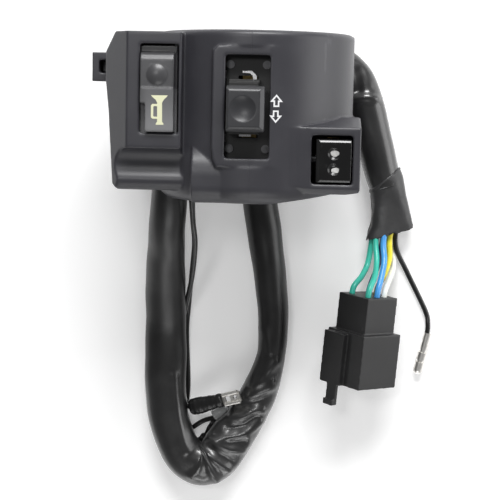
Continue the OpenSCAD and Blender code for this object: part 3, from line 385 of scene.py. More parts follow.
# %% Folds of the sleeve
# Each fold: its points along and across the sleeve, its half width and how far it rises, in millimetres
SLEEVE_FOLDS = [
    ([(84, -3.8), (96, -4.2), (106, -4), (116, -3.2)], 1.3, 0.7),
    ([(127.5, -5), (125.5, -1), (124, 3)], 1.3, 0.8),
    ([(130.5, -6), (130, 0), (130, 5.5)], 1.1, 1.1),
    ([(133.6, -4), (134, 0), (134.4, 5)], 1.1, 0.9),
    ([(137, -5), (137.4, 4)], 1.5, -0.9),
    ([(142.5, 5), (141, 1), (140, -4)], 1.3, 1.0),
    ([(148, 4.6), (145, 5.4)], 1.3, 0.8),
    ([(146.6, 4), (143.4, -1.6)], 1.3, -0.8),
    ([(156, 5.4), (152, 4.2), (147.5, 2), (144.5, -1.5), (141, -5.5)], 1.5, 1.2),
    ([(157, 3), (152, 1), (148, -3.6)], 1.7, -1.1),
    ([(160.4, 4.2), (159.5, 2.8), (155, -0.5), (152, -4.5)], 1.5, 1.1),
    ([(166.4, 3), (162, -0.4), (158, -4)], 2.1, -1.1),
    ([(170.6, 3.8), (168, 1.5), (163, -2.5)], 1.6, 1.0),
    ([(179, 2.5), (174, 0), (168, -3)], 1.7, 0.9),
    ([(176, 3.6), (172, -2)], 1.8, -0.6),
    ([(191, -3.4), (183, -0.6)], 1.7, 0.5),
    ([(319, -2.5), (325, 1.2)], 2.6, -1.7),
    ([(327, 4.5), (328, 0), (330, -4)], 1.5, 1.1)]
SLEEVE_WAVES = [(0.012, 0.17, 2), (0.01, 0.39, -1)]


def nearness(along, across, points, half_width):
    """1 on the line through some points, fading to 0 beside it."""
    nearest = np.full(np.broadcast_shapes(along.shape, across.shape), np.inf)
    for start, end in zip(np.array(points[:-1], float), np.array(points[1:], float)):
        run = end - start
        t = ((along - start[0]) * run[0] + (across - start[1]) * run[1]) / (run @ run)
        t = np.clip(t, 0, 1)
        away = np.hypot(along - start[0] - t * run[0], across - start[1] - t * run[1])
        nearest = np.minimum(nearest, away)
    return np.exp(-(nearest / half_width) ** 2)


def sleeve_swell(along, half_wide, around):
    """A slow unevenness all along, the swollen inner side of the loop, and folds on the upper side."""
    angle = round_angles(around)[None, :]
    along = along[:, None]
    factor = unevenness(along, angle, SLEEVE_WAVES)
    swollen = np.interp(along, *zip(*INNER_SWELL))
    factor = factor * (1 + (swollen - 1) * np.clip(-np.cos(angle), 0, 1))
    across = half_wide[:, None] * np.cos(angle)
    upper = np.clip(np.sin(angle) * 2 + 0.6, 0, 1)
    for points, half_width, rise in SLEEVE_FOLDS:
        factor = factor + rise / SLEEVE_R * upper * nearness(along, across, points, half_width)
    return factor


print("folds:", len(SLEEVE_FOLDS))

# %% Harness sleeve
SLEEVE_AROUND = 64
SLEEVE_STEP = 0.7
TALLER = 0.2
SETTLE_FROM = -18.0
SETTLE_OVER = 6.0
sleeve_path = smooth_path(sleeve_points, SLEEVE_STEP)
sleeve_along = np.linspace(0, path_length(sleeve_path), len(sleeve_path))
sleeve_wide = np.interp(sleeve_along, *zip(*HALF_WIDTHS))
sleeve_high = np.minimum(SLEEVE_R ** 2 / sleeve_wide, SLEEVE_R + TALLER)
# A flattened stretch is lower, so its middle sinks until its lower side lies on the table
on_table = np.clip((SETTLE_FROM - sleeve_path[:, 2]) / SETTLE_OVER, 0, 1)
sleeve_path[:, 2] += on_table * (TABLE + sleeve_high - SLEEVE_LIE)
sleeve = tube("sleeve", sleeve_path, sleeve_wide, sleeve_high, SLEEVE_AROUND, sleeve_vinyl,
              sleeve_swell(sleeve_along, sleeve_wide, SLEEVE_AROUND))
stand_for(sleeve, "harness_sleeve")
print("sleeve length (mm):", round(path_length(sleeve_path), 1))

# %% [markdown]
# ## The pleat inside the loop
# In so tight a loop the sleeve has more skin on its inner side than room, and the slack lies on the
# table as a flat pleat along the second strand. It is a small sheet of vinyl: a grid from the strand
# to its free edge, with creases across it, and flat where the clear cover lies on it.

# %% Sleeve pleat
PLEAT_LOW = TABLE + 0.5
PLEAT_THICK = 0.45
PLEAT_ROOT = [(-20.0, -130.5), (-7.0, -113.0)]
PLEAT_EDGE = [(-21.8, -127.0), (-9.5, -110.5)]
PLEAT_ROWS, PLEAT_COLUMNS = 40, 60
EDGE_RIPPLES = [(0.7, 17), (0.4, 41)]
CREASE_RATE, CREASE_SLANT = 31, 1.3
CREASE_RISE = 1.5
END_CURL = 4.0
COVER_LINE = [(-13.8, -116.6), (-9.8, -112.4)]
COVER_ROOM = 4.5


def between(line, share):
    """Places on a straight line, at shares of it."""
    return np.array(line[0]) + share[..., None] * np.subtract(line[1], line[0])


def pleat_points(rows, columns):
    """Upper places of the pleat, row by row from its root to its free edge."""
    t, q = np.meshgrid(np.linspace(0, 1, rows), np.linspace(0, 1, columns), indexing="ij")
    root = between(PLEAT_ROOT, q)
    place = root + t[..., None] * (between(PLEAT_EDGE, q) - root)
    place[..., 1] += sum(size * t * np.sin(q * rate) for size, rate in EDGE_RIPPLES)
    clear = 1 - nearness(place[..., 0], place[..., 1], COVER_LINE, COVER_ROOM)
    creases = 0.5 + 0.5 * np.cos(q * CREASE_RATE + CREASE_SLANT * t)
    height = PLEAT_LOW + clear * (CREASE_RISE * creases + END_CURL * (2 * q - 1) ** 4)
    return np.dstack([place, height])


upper = pleat_points(PLEAT_ROWS, PLEAT_COLUMNS)
lower = upper - np.array([0, 0, PLEAT_THICK])
rings = np.concatenate([upper, lower[:, ::-1]], axis=1).reshape(-1, 3)
pleat = new_object("sleeve_pleat", rings, grid_faces(PLEAT_ROWS, 2 * PLEAT_COLUMNS), sleeve_vinyl)
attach(pleat, "cluster")
print("pleat (mm):", np.round(np.ptp(rings, axis=0), 1))

# %% [markdown]
# ## The taped end
# Black vinyl tape is wound round the end of the sleeve and flattens over the wires. It is stiff enough
# to lie in flat panels, so its ring is a rounded box and not an oval. It starts and ends on a slant,
# and its left side, where the windings pile up, is crumpled. The crumple is a sum of random waves with
# a fixed seed, so it comes out the same each time.

# %% Shape of the tape
tape_points = [(47.9, -22.6, -25.8), (48.8, -25.6, -25.8), (49.8, -31.4, -26.2), (50.4, -37.4, -27.0),
               (50.6, -43, -27.8)]
TAPE_STEP = 0.3
TAPE_AROUND = 96
TAPE_SLANT = 2.6
TAPE_OVER = 1.02
TAPE_SHARES = [0, 0.2, 0.45, 0.75, 1]
CRUMPLE_WAVES = 14
tape_path = smooth_path(tape_points, TAPE_STEP)
tape_share = np.linspace(0, 1, len(tape_path))[:, None]
tape_angle = round_angles(TAPE_AROUND)[None, :]
tape_wide = np.interp(tape_share[:, 0], TAPE_SHARES, [6.6, 6.5, 6.5, 7.4, 8.6])
tape_high = np.interp(tape_share[:, 0], TAPE_SHARES, [6.6, 6.3, 5.4, 4.3, 3.6])
squareness = np.interp(tape_share, [0, 0.4, 1], [2.0, 2.7, 3.0])
sides = np.abs(np.cos(tape_angle)) ** squareness + np.abs(np.sin(tape_angle)) ** squareness
boxy = sides ** (-1 / squareness)
crumple = np.zeros(boxy.shape)
for size, turns, waves, shift in np.random.default_rng(7).normal(0, 1, (CRUMPLE_WAVES, 4)):
    crumple += size * np.sin((3 + turns) * tape_angle + (9 + 5 * waves) * tape_share + 3 * shift)
left_side = np.clip(np.cos(tape_angle - 0.5), 0, 1) * np.clip(tape_share * 1.6, 0, 1)
first_lap = 0.03 * (tape_share > 0.02) * (tape_share < 0.04)
tape_swell = TAPE_OVER * boxy + first_lap + crumple * (0.002 + 0.011 * left_side)
ragged = np.random.default_rng(11).normal(0, 0.4, TAPE_AROUND)[None, :] * (tape_share > 0.985)
tape_drift = TAPE_SLANT * np.cos(tape_angle) + ragged
print("tape length (mm):", round(path_length(tape_path), 1))

# %% Harness tape
tape_vinyl = vinyl("tape_vinyl", grey(0.03), 0.4, 0.16, 0.14)
tape = tube("tape", tape_path, tape_wide, tape_high, TAPE_AROUND, tape_vinyl, tape_swell, tape_drift)
stand_for(tape, "harness_tape")
print("tape faces:", len(tape.data.polygons))

# %% [markdown]
# ## Wires and leads
# Six coloured wires run from the tape into the connector, a thin lead ends in a bullet, and two more
# go from the housing into the loop. Each is a plain round tube: at this size the colour, the shine
# and the way they cross are what the eye sees. The wires end in the connector's own frame, because it
# lies turned and rolled on the table.

# %% Where the wires enter the connector
# The connector lies on an edge, so its middle is most of a side above the table
PLUG_SIDE = 19.2
PLUG_RAISED = 0.7
PLUG_CLEAR = 0.4
PLUG_AT = np.array([43.0, -65.7, TABLE + PLUG_SIDE * PLUG_RAISED + PLUG_CLEAR])
PLUG_YAW = math.radians(-4.5)
PLUG_ROLL = math.radians(42)
PIN_PITCH = 4.2


def plug_point(u, v, w):
    """A point of the connector's own frame: u and v across it, w along it from its wire end."""
    c, s = math.cos(PLUG_ROLL), math.sin(PLUG_ROLL)
    x, y, z = u * c + v * s, -w, v * c - u * s
    c, s = math.cos(PLUG_YAW), math.sin(PLUG_YAW)
    return tuple(PLUG_AT + np.array([x * c - y * s, x * s + y * c, z]))


def plug_entry(u, v):
    """The last two points of a wire, outside and inside its hole."""
    return [plug_point(u, v, -2), plug_point(u, v, 5)]


print("middle hole of the connector (mm):", np.round(plug_point(0, 0, 0), 1))

# %% Routes of the wires and leads
WIRE_D = 2.2
LEAD_D = 1.9
LEAD_LIE = TABLE + LEAD_D / 2
BULLET_LIE = TABLE + 1.8
wire_routes = {
    "teal_wire_a": [(44.6, -39.6, -27.5), (43, -53.4, -27), (40.6, -59, -23)]
                   + plug_entry(-PIN_PITCH, -PIN_PITCH),
    "teal_wire_b": [(46.8, -39.6, -26.5), (45.4, -46, -25.5), (45.8, -53, -22), (45, -58.5, -17)]
                   + plug_entry(-PIN_PITCH, PIN_PITCH),
    "navy_wire": [(49, -39.6, -28.5), (48, -47, -29), (46.4, -55.5, -26)] + plug_entry(0, 0),
    "blue_wire": [(49.2, -39.6, -25.8), (48.2, -46.6, -24.6), (48.6, -53, -21.5), (47.6, -58.6, -18)]
                 + plug_entry(0, PIN_PITCH + 0.4),
    "yellow_wire": [(51.4, -39.6, -27), (50.6, -46, -27), (50.8, -52.5, -26.6), (49, -58.6, -24.5)]
                   + plug_entry(PIN_PITCH, 0),
    "white_wire": [(51, -39.6, -29.8), (50.8, -47, -30.6), (52.6, -56, -28.5)]
                  + plug_entry(PIN_PITCH, PIN_PITCH)}
wire_finish = {"teal_wire_a": teal_vinyl, "teal_wire_b": teal_vinyl, "navy_wire": navy_vinyl,
               "blue_wire": blue_vinyl, "yellow_wire": yellow_vinyl, "white_wire": white_vinyl}
bullet_route = [(53.2, -39.6, -28.5), (53.2, -48.6, -29.6), (58, -58.6, LEAD_LIE), (65.3, -73, LEAD_LIE),
                (66.4, -78, BULLET_LIE), (66.2, -83, BULLET_LIE)]
lead_a_route = [(-21.5, -28, 7), (-21.5, -30, 7), (-21.2, -38, 3), (-21, -47, -4.5), (-22.8, -60, -15),
                (-26, -73, -25.5), (-28, -84, LEAD_LIE), (-27.2, -106, LEAD_LIE + 0.7),
                (-25.5, -110.6, LEAD_LIE + 3.2), (-23.6, -112.6, LEAD_LIE + 4.6)]
lead_b_route = [(-21.5, -28, 3.5), (-21.5, -30, 3.5), (-21.6, -38, -0.8), (-21.6, -47, -8.5),
                (-23.4, -60, -19.4), (-25.2, -73, -29.4), (-26, -84, LEAD_LIE), (-25.2, -104, LEAD_LIE),
                (-26, -117, LEAD_LIE), (-25.6, -121, LEAD_LIE), (-24.2, -122.2, LEAD_LIE),
                (-19.2, -118.8, LEAD_LIE + 0.3), (-13.8, -116.6, LEAD_LIE + 1.8)]
print("routes:", len(wire_routes) + 3)

# %% Wires and the bullet's lead
CORD_STEP = 0.8
CORD_AROUND = 14


def lay_cord(node, points, diameter, finish):
    """One wire or lead in place of its solid, whose length is printed."""
    path = smooth_path(points, CORD_STEP)
    made = tube(node + "_cord", path, diameter / 2, diameter / 2, CORD_AROUND, finish)
    stand_for(made, node)
    print(node, "length (mm):", round(path_length(path), 1))


for node, points in wire_routes.items():
    lay_cord(node, points, WIRE_D, wire_finish[node])
lay_cord("bullet_lead", bullet_route, LEAD_D, black_vinyl)

# %% [markdown]
# ## Ends of the clutch leads
# The first lead ends in a black boot over a bare receptacle, the second in a clear cover that has slid
# along it, with its wide mouth behind. Both are short tubes of their own with a rolled rim, given by
# half widths and half heights at shares of their length.

# %% Boot and cover
BOOT_END = (-11, -108.2, LEAD_LIE + 9.1)
BOOT_SHARES = [0, 0.06, 0.2, 0.3, 0.82, 0.88, 0.97, 1]
BOOT_WIDE = [2.6, 3.1, 3.4, 3.3, 2.6, 2.75, 2.65, 2.2]
BOOT_HIGH = [1.8, 2.2, 2.4, 2.4, 2.2, 2.3, 2.2, 1.9]
COVER_END = (-9.8, -112.4, TABLE + 4.2)
COVER_SHARES = [0, 0.03, 0.08, 0.14, 0.5, 0.9, 1]
COVER_WIDE = [2.5, 2.95, 2.95, 2.6, 2.2, 1.4, 1.0]
COVER_HIGH = [2.3, 2.7, 2.7, 2.4, 2.0, 1.3, 0.9]
END_STEP = 0.25
END_AROUND = 32
END_WAVES = [(0.02, 21, 2), (0.012, 47, -1)]
clear_vinyl = vinyl("clear_vinyl", (0.5, 0.51, 0.51, 1), 0.18, tint=0.1)
clear_vinyl.shader.inputs["Alpha"].default_value = 0.72


def lay_end(name, node, start, end, shares, half_wide, half_high, finish):
    """A short tube from a lead's end, with its half widths and half heights at shares of its length."""
    path = smooth_path([start, tuple(np.add(start, end) / 2), end], END_STEP)
    share = np.linspace(0, 1, len(path))
    made = tube(name, path, np.interp(share, shares, half_wide), np.interp(share, shares, half_high),
                END_AROUND, finish, unevenness(share[:, None], round_angles(END_AROUND), END_WAVES))
    stand_for(made, node)
    print(name, "length (mm):", round(path_length(path), 1))
    return made


boot = lay_end("boot", "lead_boot", lead_a_route[-1], BOOT_END, BOOT_SHARES, BOOT_WIDE, BOOT_HIGH,
               black_vinyl)
cover = lay_end("cover", "spade_cover", lead_b_route[-1], COVER_END, COVER_SHARES, COVER_WIDE, COVER_HIGH,
                clear_vinyl)
lay_cord("clutch_lead_a", lead_a_route, LEAD_D, black_vinyl)
lay_cord("clutch_lead_b", lead_b_route, LEAD_D, black_vinyl)

# %% [markdown]
# ## Moulded plastic
# The housing is dark grey plastic with a fine spark-eroded grain. The grain is too small to model, so
# it is a bump, with broader patches of slightly different sheen where hands have polished it. Proud
# edges are a little paler, and the housing shows the fine line where its halves meet.

# %% Moulded plastic
GRAIN_MM = 0.32
PATCH_MM = 11.0
PATCH_SHEEN = 0.1
SEAM_FROM, SEAM_TO = 0.02, 0.14
GRAIN_SHARE = 0.4


def moulded(name, colour, rough, grain_depth=0.02, seam=False):
    """Moulded plastic: fine grain, patches of sheen, paler proud edges and perhaps a parting line."""
    made = Finish(name, {"Roughness": rough, "IOR": 1.49, "Specular IOR Level": 0.5})
    grain = made.noise(GRAIN_MM, 2.0)
    broad = made.noise(PATCH_MM, 3.0)
    edge = made.node("NewGeometry", out="Pointiness").ease(0.52, 0.6)
    paler = shaded(colour, 1.5, 0.012)
    made.colour = made.blend(edge * 0.35 + broad.ease(0.45, 0.8) * 0.2, colour, paler)
    made.feed("Base Color", made.colour)
    made.feed("Roughness", rough + PATCH_SHEEN * (broad - 0.5) + 0.12 * (grain - 0.5) - 0.06 * edge)
    if seam:
        across = made.node("SeparateXYZ", None, {0: made.place}, out="X")
        from_seam = made.node("Math", {"operation": "ABSOLUTE"}, {0: across})
        closed = from_seam.ease(SEAM_FROM * MM, SEAM_TO * MM)
        grain = grain * GRAIN_SHARE + closed * (1 - GRAIN_SHARE)
        grain_depth = grain_depth / GRAIN_SHARE
    made.relief(grain, grain_depth)
    return made


case_plastic = moulded("case_plastic", (0.031, 0.0306, 0.0362, 1), 0.4, seam=True)
rocker_plastic = moulded("rocker_plastic", grey(0.006), 0.2, grain_depth=0.003)
guide_plastic = moulded("guide_plastic", grey(0.005), 0.6)
connector_plastic = moulded("connector_plastic", grey(0.013), 0.42)
nylon = moulded("nylon", (0.72, 0.7, 0.64, 1), 0.45)
board_resin = moulded("board", (0.06, 0.035, 0.02, 1), 0.5)
grommet_rubber = moulded("grommet_rubber", grey(0.012), 0.6)
print("nodes in the housing's finish:", len(case_plastic.tree.nodes))

# %% [markdown]
# ## A shaded knob and a worn button
# The skirt of the turn knob, low in the slot, is painted darker and made matter: painted shade from the
# slot. The horn button is rubbed pale by the thumb below its crease, most at its end and least on its
# left. Both follow the place on the piece, so they stay on it from every side.

# %% Knob and horn button
SKIRT_UP = 34.2
SKIRT_FADE = 0.6
knob_plastic = moulded("knob_plastic", (0.026, 0.0262, 0.029, 1), 0.36)
# Below SKIRT_UP the knob is painted darker and matter: painted shade of the slot it slides in
above_skirt_shade = knob_plastic.rise("Z", SKIRT_UP, SKIRT_UP + SKIRT_FADE)
knob_plastic.feed("Base Color", knob_plastic.blend(above_skirt_shade, grey(0.006), knob_plastic.colour))
knob_plastic.feed("Roughness", 0.6 - 0.24 * above_skirt_shade)

BUTTON_CREASE = 9.2
CREASE_FADE = 0.2
BUTTON_END = -5.3
BUTTON_LEFT = -37.2
LEFT_FADE = 3.4
button_plastic = moulded("button_plastic", (0.05, 0.05, 0.053, 1), 0.34, grain_depth=0.012)
below_crease = 1 - button_plastic.rise("Y", BUTTON_CREASE - CREASE_FADE, BUTTON_CREASE)
rubbed = below_crease * (1 - 0.6 * button_plastic.rise("Y", BUTTON_END, BUTTON_CREASE))
rubbed = rubbed * (0.4 + 0.6 * button_plastic.rise("X", BUTTON_LEFT, BUTTON_LEFT + LEFT_FADE))
button_plastic.feed("Base Color", button_plastic.blend(rubbed, button_plastic.colour, grey(0.185)))
print("nodes in the horn button's finish:", len(button_plastic.tree.nodes))

# %% [markdown]
# ## Metal
# Screws and springs are steel, contacts are brass and the ends of the leads are tinned. A metal has no
# colour of its own under its shine, so what sets one from another is the tint of what it mirrors, its
# fine scratches and a dull film in patches.

# %% Metals
SCRATCH_MM = 0.35
FILM_MM = 3.0
SCRATCH_DEPTH = 0.012


def metal(name, colour, rough):
    """Plain metal with fine scratches and a dull film in patches."""
    made = Finish(name, {"Metallic": 1.0, "Roughness": rough})
    scratch = made.noise(SCRATCH_MM, 3.0)
    film = made.noise(FILM_MM, 3.0)
    made.feed("Base Color", made.blend(film.ease(0.4, 0.75), colour, shaded(colour, 0.75)))
    made.feed("Roughness", rough + 0.2 * (scratch - 0.5) + 0.18 * film.ease(0.45, 0.8))
    made.relief(scratch, SCRATCH_DEPTH)
    return made


steel = metal("steel", (0.74, 0.74, 0.75, 1), 0.3)
dull_steel = metal("dull_steel", (0.13, 0.13, 0.135, 1), 0.55)
# Near black steel for the rocker's pin: painted shade, for the shadow in the gap round the rocker
shade_dark_steel = metal("steel_painted_shade", (0.02, 0.02, 0.021, 1), 0.5)
contact_brass = metal("contact_brass", (0.72, 0.52, 0.22, 1), 0.3)
tinned_metal = metal("tinned_metal", (0.93, 0.91, 0.87, 1), 0.34)
print("nodes in a metal:", len(steel.tree.nodes))

# %% [markdown]
# ## Rounded mouldings
# The solids have sharp edges, but a moulded edge is always a little round, and that roundness is what
# draws the bright lines along it. A voxel remesh turns the solid into even small faces, a short
# smoothing rounds every edge by the same amount, and a decimation takes the flat places back to few
# faces. The solid itself stays untouched underneath.

# %% How a moulding is rounded
SEAM_GAP = 0.1
SEAM_LAP = 0.15
SEAM_NEAR = 0.01


def add_modifier(piece, name, kind, **settings):
    made = piece.modifiers.new(name, kind)
    for key, value in settings.items():
        setattr(made, key, value)


def rounded_skin(name, meshes, voxel_mm, passes, keep):
    """One skin over copies of some meshes, with its edges softened."""
    joined = bmesh.new()
    for mesh in meshes:
        joined.from_mesh(mesh)
    # The two halves of the housing are made to meet, so that no gap opens along their seam
    if len(meshes) > 1:
        for vert in joined.verts:
            if abs(abs(vert.co.x) - SEAM_GAP * MM) < SEAM_NEAR * MM:
                vert.co.x = -math.copysign(SEAM_LAP * MM, vert.co.x)
    mesh = bpy.data.meshes.new(name)
    joined.to_mesh(mesh)
    joined.free()
    made = put_in_scene(name, mesh)
    add_modifier(made, "skin", "REMESH", mode="VOXEL", voxel_size=voxel_mm * MM)
    add_modifier(made, "ease", "SMOOTH", factor=0.5, iterations=passes)
    add_modifier(made, "thin", "DECIMATE", ratio=keep)
    settled = made.evaluated_get(bpy.context.evaluated_depsgraph_get())
    skin = bpy.data.meshes.new_from_object(settled)
    bpy.data.objects.remove(made)
    return skin


def dress(name, skin, node, finish, body):
    """A piece made of a skin, which stands for a solid."""
    made = put_in_scene(name, skin)
    skin.materials.clear()
    skin.materials.append(finish.material)
    skin.polygons.foreach_set("use_smooth", [True] * len(skin.polygons))
    stand_for(made, node, body)
    print(name, "faces:", len(skin.polygons))
    return made


def half_of(skin, keep_left):
    """The part of a skin on one side of the seam."""
    cut = bmesh.new()
    cut.from_mesh(skin)
    bmesh.ops.bisect_plane(cut, geom=cut.verts[:] + cut.edges[:] + cut.faces[:], plane_co=(0, 0, 0),
                           plane_no=(1, 0, 0), clear_outer=keep_left, clear_inner=not keep_left)
    mesh = bpy.data.meshes.new("half")
    cut.to_mesh(mesh)
    cut.free()
    return mesh


# %% Rounded copies of the mouldings
HOUSING_VOXEL, HOUSING_PASSES, HOUSING_KEEP = 0.4, 6, 0.35
SWITCH_KEEP = 0.4
coarse = 1.0
solid_mesh = {node: solid.data for node, solid in frame["nodes"].items()}
housing = rounded_skin("housing", [solid_mesh["lower_case"], solid_mesh["upper_case"]],
                       HOUSING_VOXEL * coarse, HOUSING_PASSES, HOUSING_KEEP)
dress("lower_moulding", half_of(housing, True), "lower_case", case_plastic, "cluster")
dress("upper_moulding", half_of(housing, False), "upper_case", case_plastic, "cluster")
for node, voxel, passes, finish, body in [
        ("turn_knob", 0.2, 6, knob_plastic, "turn_slider"),
        ("horn_button", 0.22, 6, button_plastic, "horn_push"),
        ("dimmer_rocker", 0.16, 6, rocker_plastic, "dimmer_lever"),
        ("connector_shell", 0.26, 4, connector_plastic, "cluster")]:
    skin = rounded_skin(node, [solid_mesh[node]], voxel * coarse, passes, SWITCH_KEEP)
    dress(node + "_skin", skin, node, finish, body)

# %% [markdown]
# ## Finishes for the solids that stay
# Screws, contacts, boards and springs keep their solids, whose shapes are right. Each gets the finish
# that the record names for it, except the rivets in the slot and the rocker's pin, which are darker; the
# pin's near black is painted shade, for the shadow in the gap round the rocker.

# %% Finishes of the inner pieces
finish_of_slot = {finish.name: finish for finish in [
    steel, contact_brass, tinned_metal, board_resin, nylon, guide_plastic, grommet_rubber, case_plastic,
    knob_plastic, button_plastic, rocker_plastic, connector_plastic, sleeve_vinyl, tape_vinyl, black_vinyl,
    clear_vinyl, teal_vinyl, navy_vinyl, blue_vinyl, yellow_vinyl, white_vinyl]}
for entry in frame["record"]["subparts"]:
    solid = frame["nodes"][entry["node"]]
    solid.data.materials.clear()
    solid.data.materials.append(finish_of_slot[entry["material_slot"]].material)
for node, finish in (("turn_rivets", dull_steel), ("dimmer_pin", shade_dark_steel)):
    frame["nodes"][node].data.materials[0] = finish.material

# %% [markdown]
# ## The horn's return spring
# The coil under the horn button gets shorter as the button goes in. A copy of it, with a mesh of its
# own, stands in its place on the housing.

# %% Horn spring
coil = dress("horn_coil", solid_mesh["horn_spring"].copy(), "horn_spring", steel, "cluster")
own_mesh(coil)

# %% [markdown]
# ## Printed signs
# The arrows and the horn sign are thin ink on the plastic. Each is a flat outline raised by a few
# hundredths of a millimetre, so that it rides with its switch and shows from any side. An image could
# carry them, but an outline stays sharp at any size.

# %% Ink
INK_THICK = 0.05


def ink(name, colour):
    """Matt ink, worn darker in small spots."""
    made = Finish(name, {"Roughness": 0.5})
    worn = made.noise(0.5, 3.0).ease(0.6, 0.85)
    made.feed("Base Color", made.blend(worn * 0.35, colour, shaded(colour, 0.75)))
    made.relief(made.noise(0.3), 0.01)
    return made


white_ink = ink("white_ink", (0.7, 0.7, 0.71, 1))
# Pale matt colour for the rocker's dimples: a painted highlight, the glint of the light in each
painted_glint = ink("painted_glint", (0.5, 0.5, 0.49, 1))
pale_yellow_ink = ink("pale_yellow_ink", (0.7, 0.7, 0.48, 1))


def raised(name, outlines, height_at, finish, body):
    """Ink over closed bands, each between an outer and an inner outline of as many corners, or filled
    where it has no inner one. height_at gives the surface's height at a place."""
    verts, faces = [], []
    for outer, inner in outlines:
        n, first = len(outer), len(verts)
        rings = [outer, inner] if inner else [outer]
        for lift in (0, INK_THICK):
            verts += [(x, y, height_at(x, y) + lift) for ring in rings for x, y in ring]
        top = first + n * len(rings)
        for k in range(n):
            j = (k + 1) % n
            faces.append((first + k, first + j, top + j, top + k))
            if inner:
                faces.append((top + k, top + j, top + n + j, top + n + k))
                faces.append((first + n + j, first + n + k, top + n + k, top + n + j))
        if not inner:
            faces.append(tuple(range(top, top + n)))
    made = new_object(name, verts, faces, finish, smooth=False)
    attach(made, body)
    print(name, "faces:", len(faces))


# %% Arrows
PAD_TOP = 34.3
PAD_KNEE = 6.5
PAD_FALL = 0.333
ARROW_LINE = 0.5


def pad_height(x, y):
    return PAD_TOP - PAD_FALL * max(x - PAD_KNEE, 0)


def inset(corners, width):
    """The outline of corners, moved inwards by a width with mitred corners."""
    pts = np.array(corners, float)
    before = pts - np.roll(pts, 1, axis=0)
    after = np.roll(pts, -1, axis=0) - pts
    left = [np.column_stack([-run[:, 1], run[:, 0]]) / np.linalg.norm(run, axis=1)[:, None]
            for run in (before, after)]
    mitre = left[0] + left[1]
    mitre = mitre * (2 / (mitre * mitre).sum(axis=1))[:, None]
    return [tuple(p) for p in pts + mitre * width]


def arrow(middle, tip, pointing):
    """Corners of an arrow, anticlockwise, that points along +Y or -Y."""
    left = [(0, 0), (-2.1, -2.5), (-0.95, -2.5), (-0.95, -4.15)]
    outline = left + [(-x, y) for x, y in reversed(left[1:])]
    placed = [(middle + x, tip + pointing * y) for x, y in outline]
    return placed if pointing > 0 else placed[::-1]


for name, outline in (("arrow_up", arrow(8.5, 7.95, 1)), ("arrow_down", arrow(8.35, -1.5, -1))):
    raised(name, [(outline, inset(outline, ARROW_LINE))], pad_height, white_ink, "cluster")

# %% Horn sign
# The horn seen from its side: the bell, stem and foot, and the loop of its bulb
horn = [(-33.25, 6.8), (-32.6, 6.1), (-31.7, 5.4), (-31.15, 4.4), (-31.1, -1.9), (-31.55, -2.5),
        (-31.55, -2.95), (-29.0, -2.9), (-29.0, -2.45), (-29.45, -1.9), (-29.5, 4.4), (-28.95, 5.4),
        (-28.2, 6.1), (-27.6, 6.85)]
bulb = [(-31.1, 3.95), (-32.7, 3.95), (-33.2, 3.5), (-33.2, -0.5), (-32.7, -0.95), (-31.1, -0.95)]
bulb_hole = [(-31.1, 3.2), (-32.2, 3.2), (-32.4, 3.0), (-32.4, -0.05), (-32.2, -0.25), (-31.1, -0.25)]
BUTTON_LOW = (-4.8, 32.8)
BUTTON_FALL = 0.4 / 14


def button_height(x, y):
    return BUTTON_LOW[1] + BUTTON_FALL * (y - BUTTON_LOW[0])


raised("horn_sign", [(horn, None), (bulb, bulb_hole)], button_height, pale_yellow_ink, "horn_push")

# %% [markdown]
# ## Painted highlights in the rocker's dimples
# The dimmer rocker has two dimples with a pale dab in each: a painted highlight for the glint of the
# light in it. A dimple is part of a sphere, so a dab is a small round grid laid on that sphere, with an
# uneven edge, and tilted as the rocker is.

# %% Dabs of painted highlight
ROCKER_AT = np.array([27.85, -13.5, 26.182])
ROCKER_TILT = math.radians(4.5)
DIMPLE_R = 2.6
DIMPLE_UP = 7.5
DIMPLE_REACH = 0.72
DAB_ROWS, DAB_COLUMNS = 7, 28
DAB_MIDDLE = 0.02
DAB_WOBBLE = 0.07


def dab(name, dimple_y, middle, half_size, lobes):
    """A pale dab with an uneven edge, a painted highlight, which follows the hollow of a dimple."""
    out, turn = np.meshgrid(np.linspace(DAB_MIDDLE, 1, DAB_ROWS), round_angles(DAB_COLUMNS), indexing="ij")
    out = out * (1 + DAB_WOBBLE * np.sin(lobes * turn + middle[0]))
    x = middle[0] + half_size[0] * out * np.cos(turn)
    y = middle[1] + half_size[1] * out * np.sin(turn)
    inside = np.minimum(1, DIMPLE_REACH * DIMPLE_R / np.hypot(x, y))
    x, y = x * inside, y * inside
    z = DIMPLE_UP - np.sqrt(DIMPLE_R ** 2 - x ** 2 - y ** 2) + INK_THICK
    y = y + dimple_y
    c, s = math.cos(ROCKER_TILT), math.sin(ROCKER_TILT)
    verts = np.dstack([x, y * c - z * s, y * s + z * c]).reshape(-1, 3) + ROCKER_AT
    made = new_object(name, verts, grid_faces(DAB_ROWS, DAB_COLUMNS), painted_glint, smooth=False)
    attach(made, "dimmer_lever")
    print(name, "width (mm):", round(float(np.ptp(verts[:, 0])), 1))


dab("painted_glint_upper", DIMPLE_R, (0.4, 0.1), (1.45, 1.05), 3)
dab("painted_glint_lower", -DIMPLE_R, (0.75, -0.35), (1.35, 0.95), 2)

# %% [markdown]
# ## Light and table
# The light is soft: pale walls, darker on the left, under a dark ceiling, a lamp beyond the grip end, a
# wide one on the dimmer's side, two weak ones in front and a small one overhead. The table is white,
# and a little glow of its own is added where it is seen or mirrored, so that it shows white and still
# keeps the shadow.

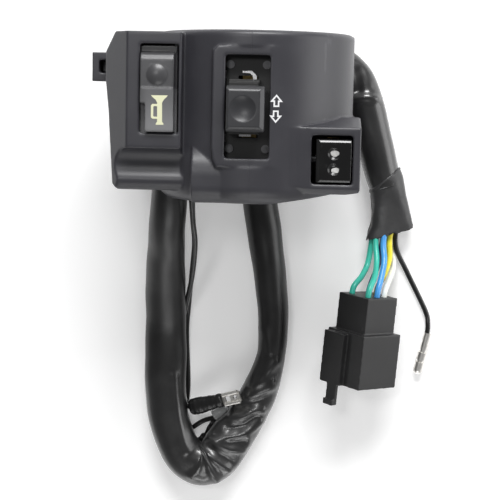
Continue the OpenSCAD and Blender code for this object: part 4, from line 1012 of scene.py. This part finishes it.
# %% Lamps
# Each lamp: its place, what it is aimed at and its size, in millimetres, and its power in watts
LAMPS = {
    "lamp_beyond": ((60, 560, 420), (0, -20, 0), (420, 180), 6.0),
    "lamp_dimmer_side": ((640, 40, 110), (0, -30, 10), (500, 440), 1.9),
    "lamp_low": ((40, -600, 60), (0, -30, 15), (500, 80), 0.5),
    "lamp_near": ((30, -430, 330), (0, -30, 20), (300, 150), 0.5),
    "lamp_over": ((-150, 190, 700), (-10, 0, 20), (130, 130), 0.8)}
for name, (place, target, size, watts) in LAMPS.items():
    light = bpy.data.lights.new(name, "AREA")
    light.shape = "RECTANGLE"
    light.size = size[0] * MM
    light.size_y = size[1] * MM
    light.energy = watts
    put_in_scene(name, light).matrix_world = look_matrix(Vector(place) * MM, Vector(target) * MM, 0)
print("lamps:", len(LAMPS))

# %% Room
WALL_LEVEL = 0.5
CEILING_LEVEL = 0.16
LEFT_SHADE = 0.6
world = bpy.data.worlds.new("room")
bpy.context.scene.world = world
world.use_nodes = True
room = Network(world.node_tree)
facing = room.node("TexCoord", out="Generated")
height = room.node("SeparateXYZ", None, {0: facing}, out="Z")
sideways = room.node("SeparateXYZ", None, {0: facing}, out="X")
darkness = height.ease(0.15, 0.95) + LEFT_SHADE * (1 - sideways.ease(-0.9, 0.0))
walls, ceiling = (room.node("Background", None, {"Color": (1, 1, 1, 1), "Strength": level})
                  for level in (WALL_LEVEL, CEILING_LEVEL))
blended = room.node("MixShader", None, {0: darkness, 1: walls, 2: ceiling})
room.tree.links.new(blended.socket, room.tree.nodes["World Output"].inputs["Surface"])
print("nodes in the room:", len(room.tree.nodes))

# %% Table
TABLE_GLOW = 0.25
TABLE_REACH = 3000.0
table_finish = Finish("table_white", {"Base Color": (0.86, 0.86, 0.86, 1), "Emission Strength": TABLE_GLOW})
table_finish.feed("Roughness", 0.6 + 0.2 * table_finish.noise(30.0))
shown = table_finish.node("LightPath", out="Is Camera Ray")
for ray in ("Is Glossy Ray", "Is Transmission Ray"):
    shown = shown + table_finish.node("LightPath", out=ray)
table_finish.feed("Emission Color", table_finish.blend(shown, (0, 0, 0, 1), (1, 1, 1, 1)))
corners = [(TABLE_REACH * x, TABLE_REACH * y, TABLE) for x, y in ((-1, -1), (1, -1), (1, 1), (-1, 1))]
table = new_object("table", corners, [(0, 1, 2, 3)], table_finish)
bpy.context.scene.view_settings.view_transform = "Standard"
print("table height (mm):", TABLE)
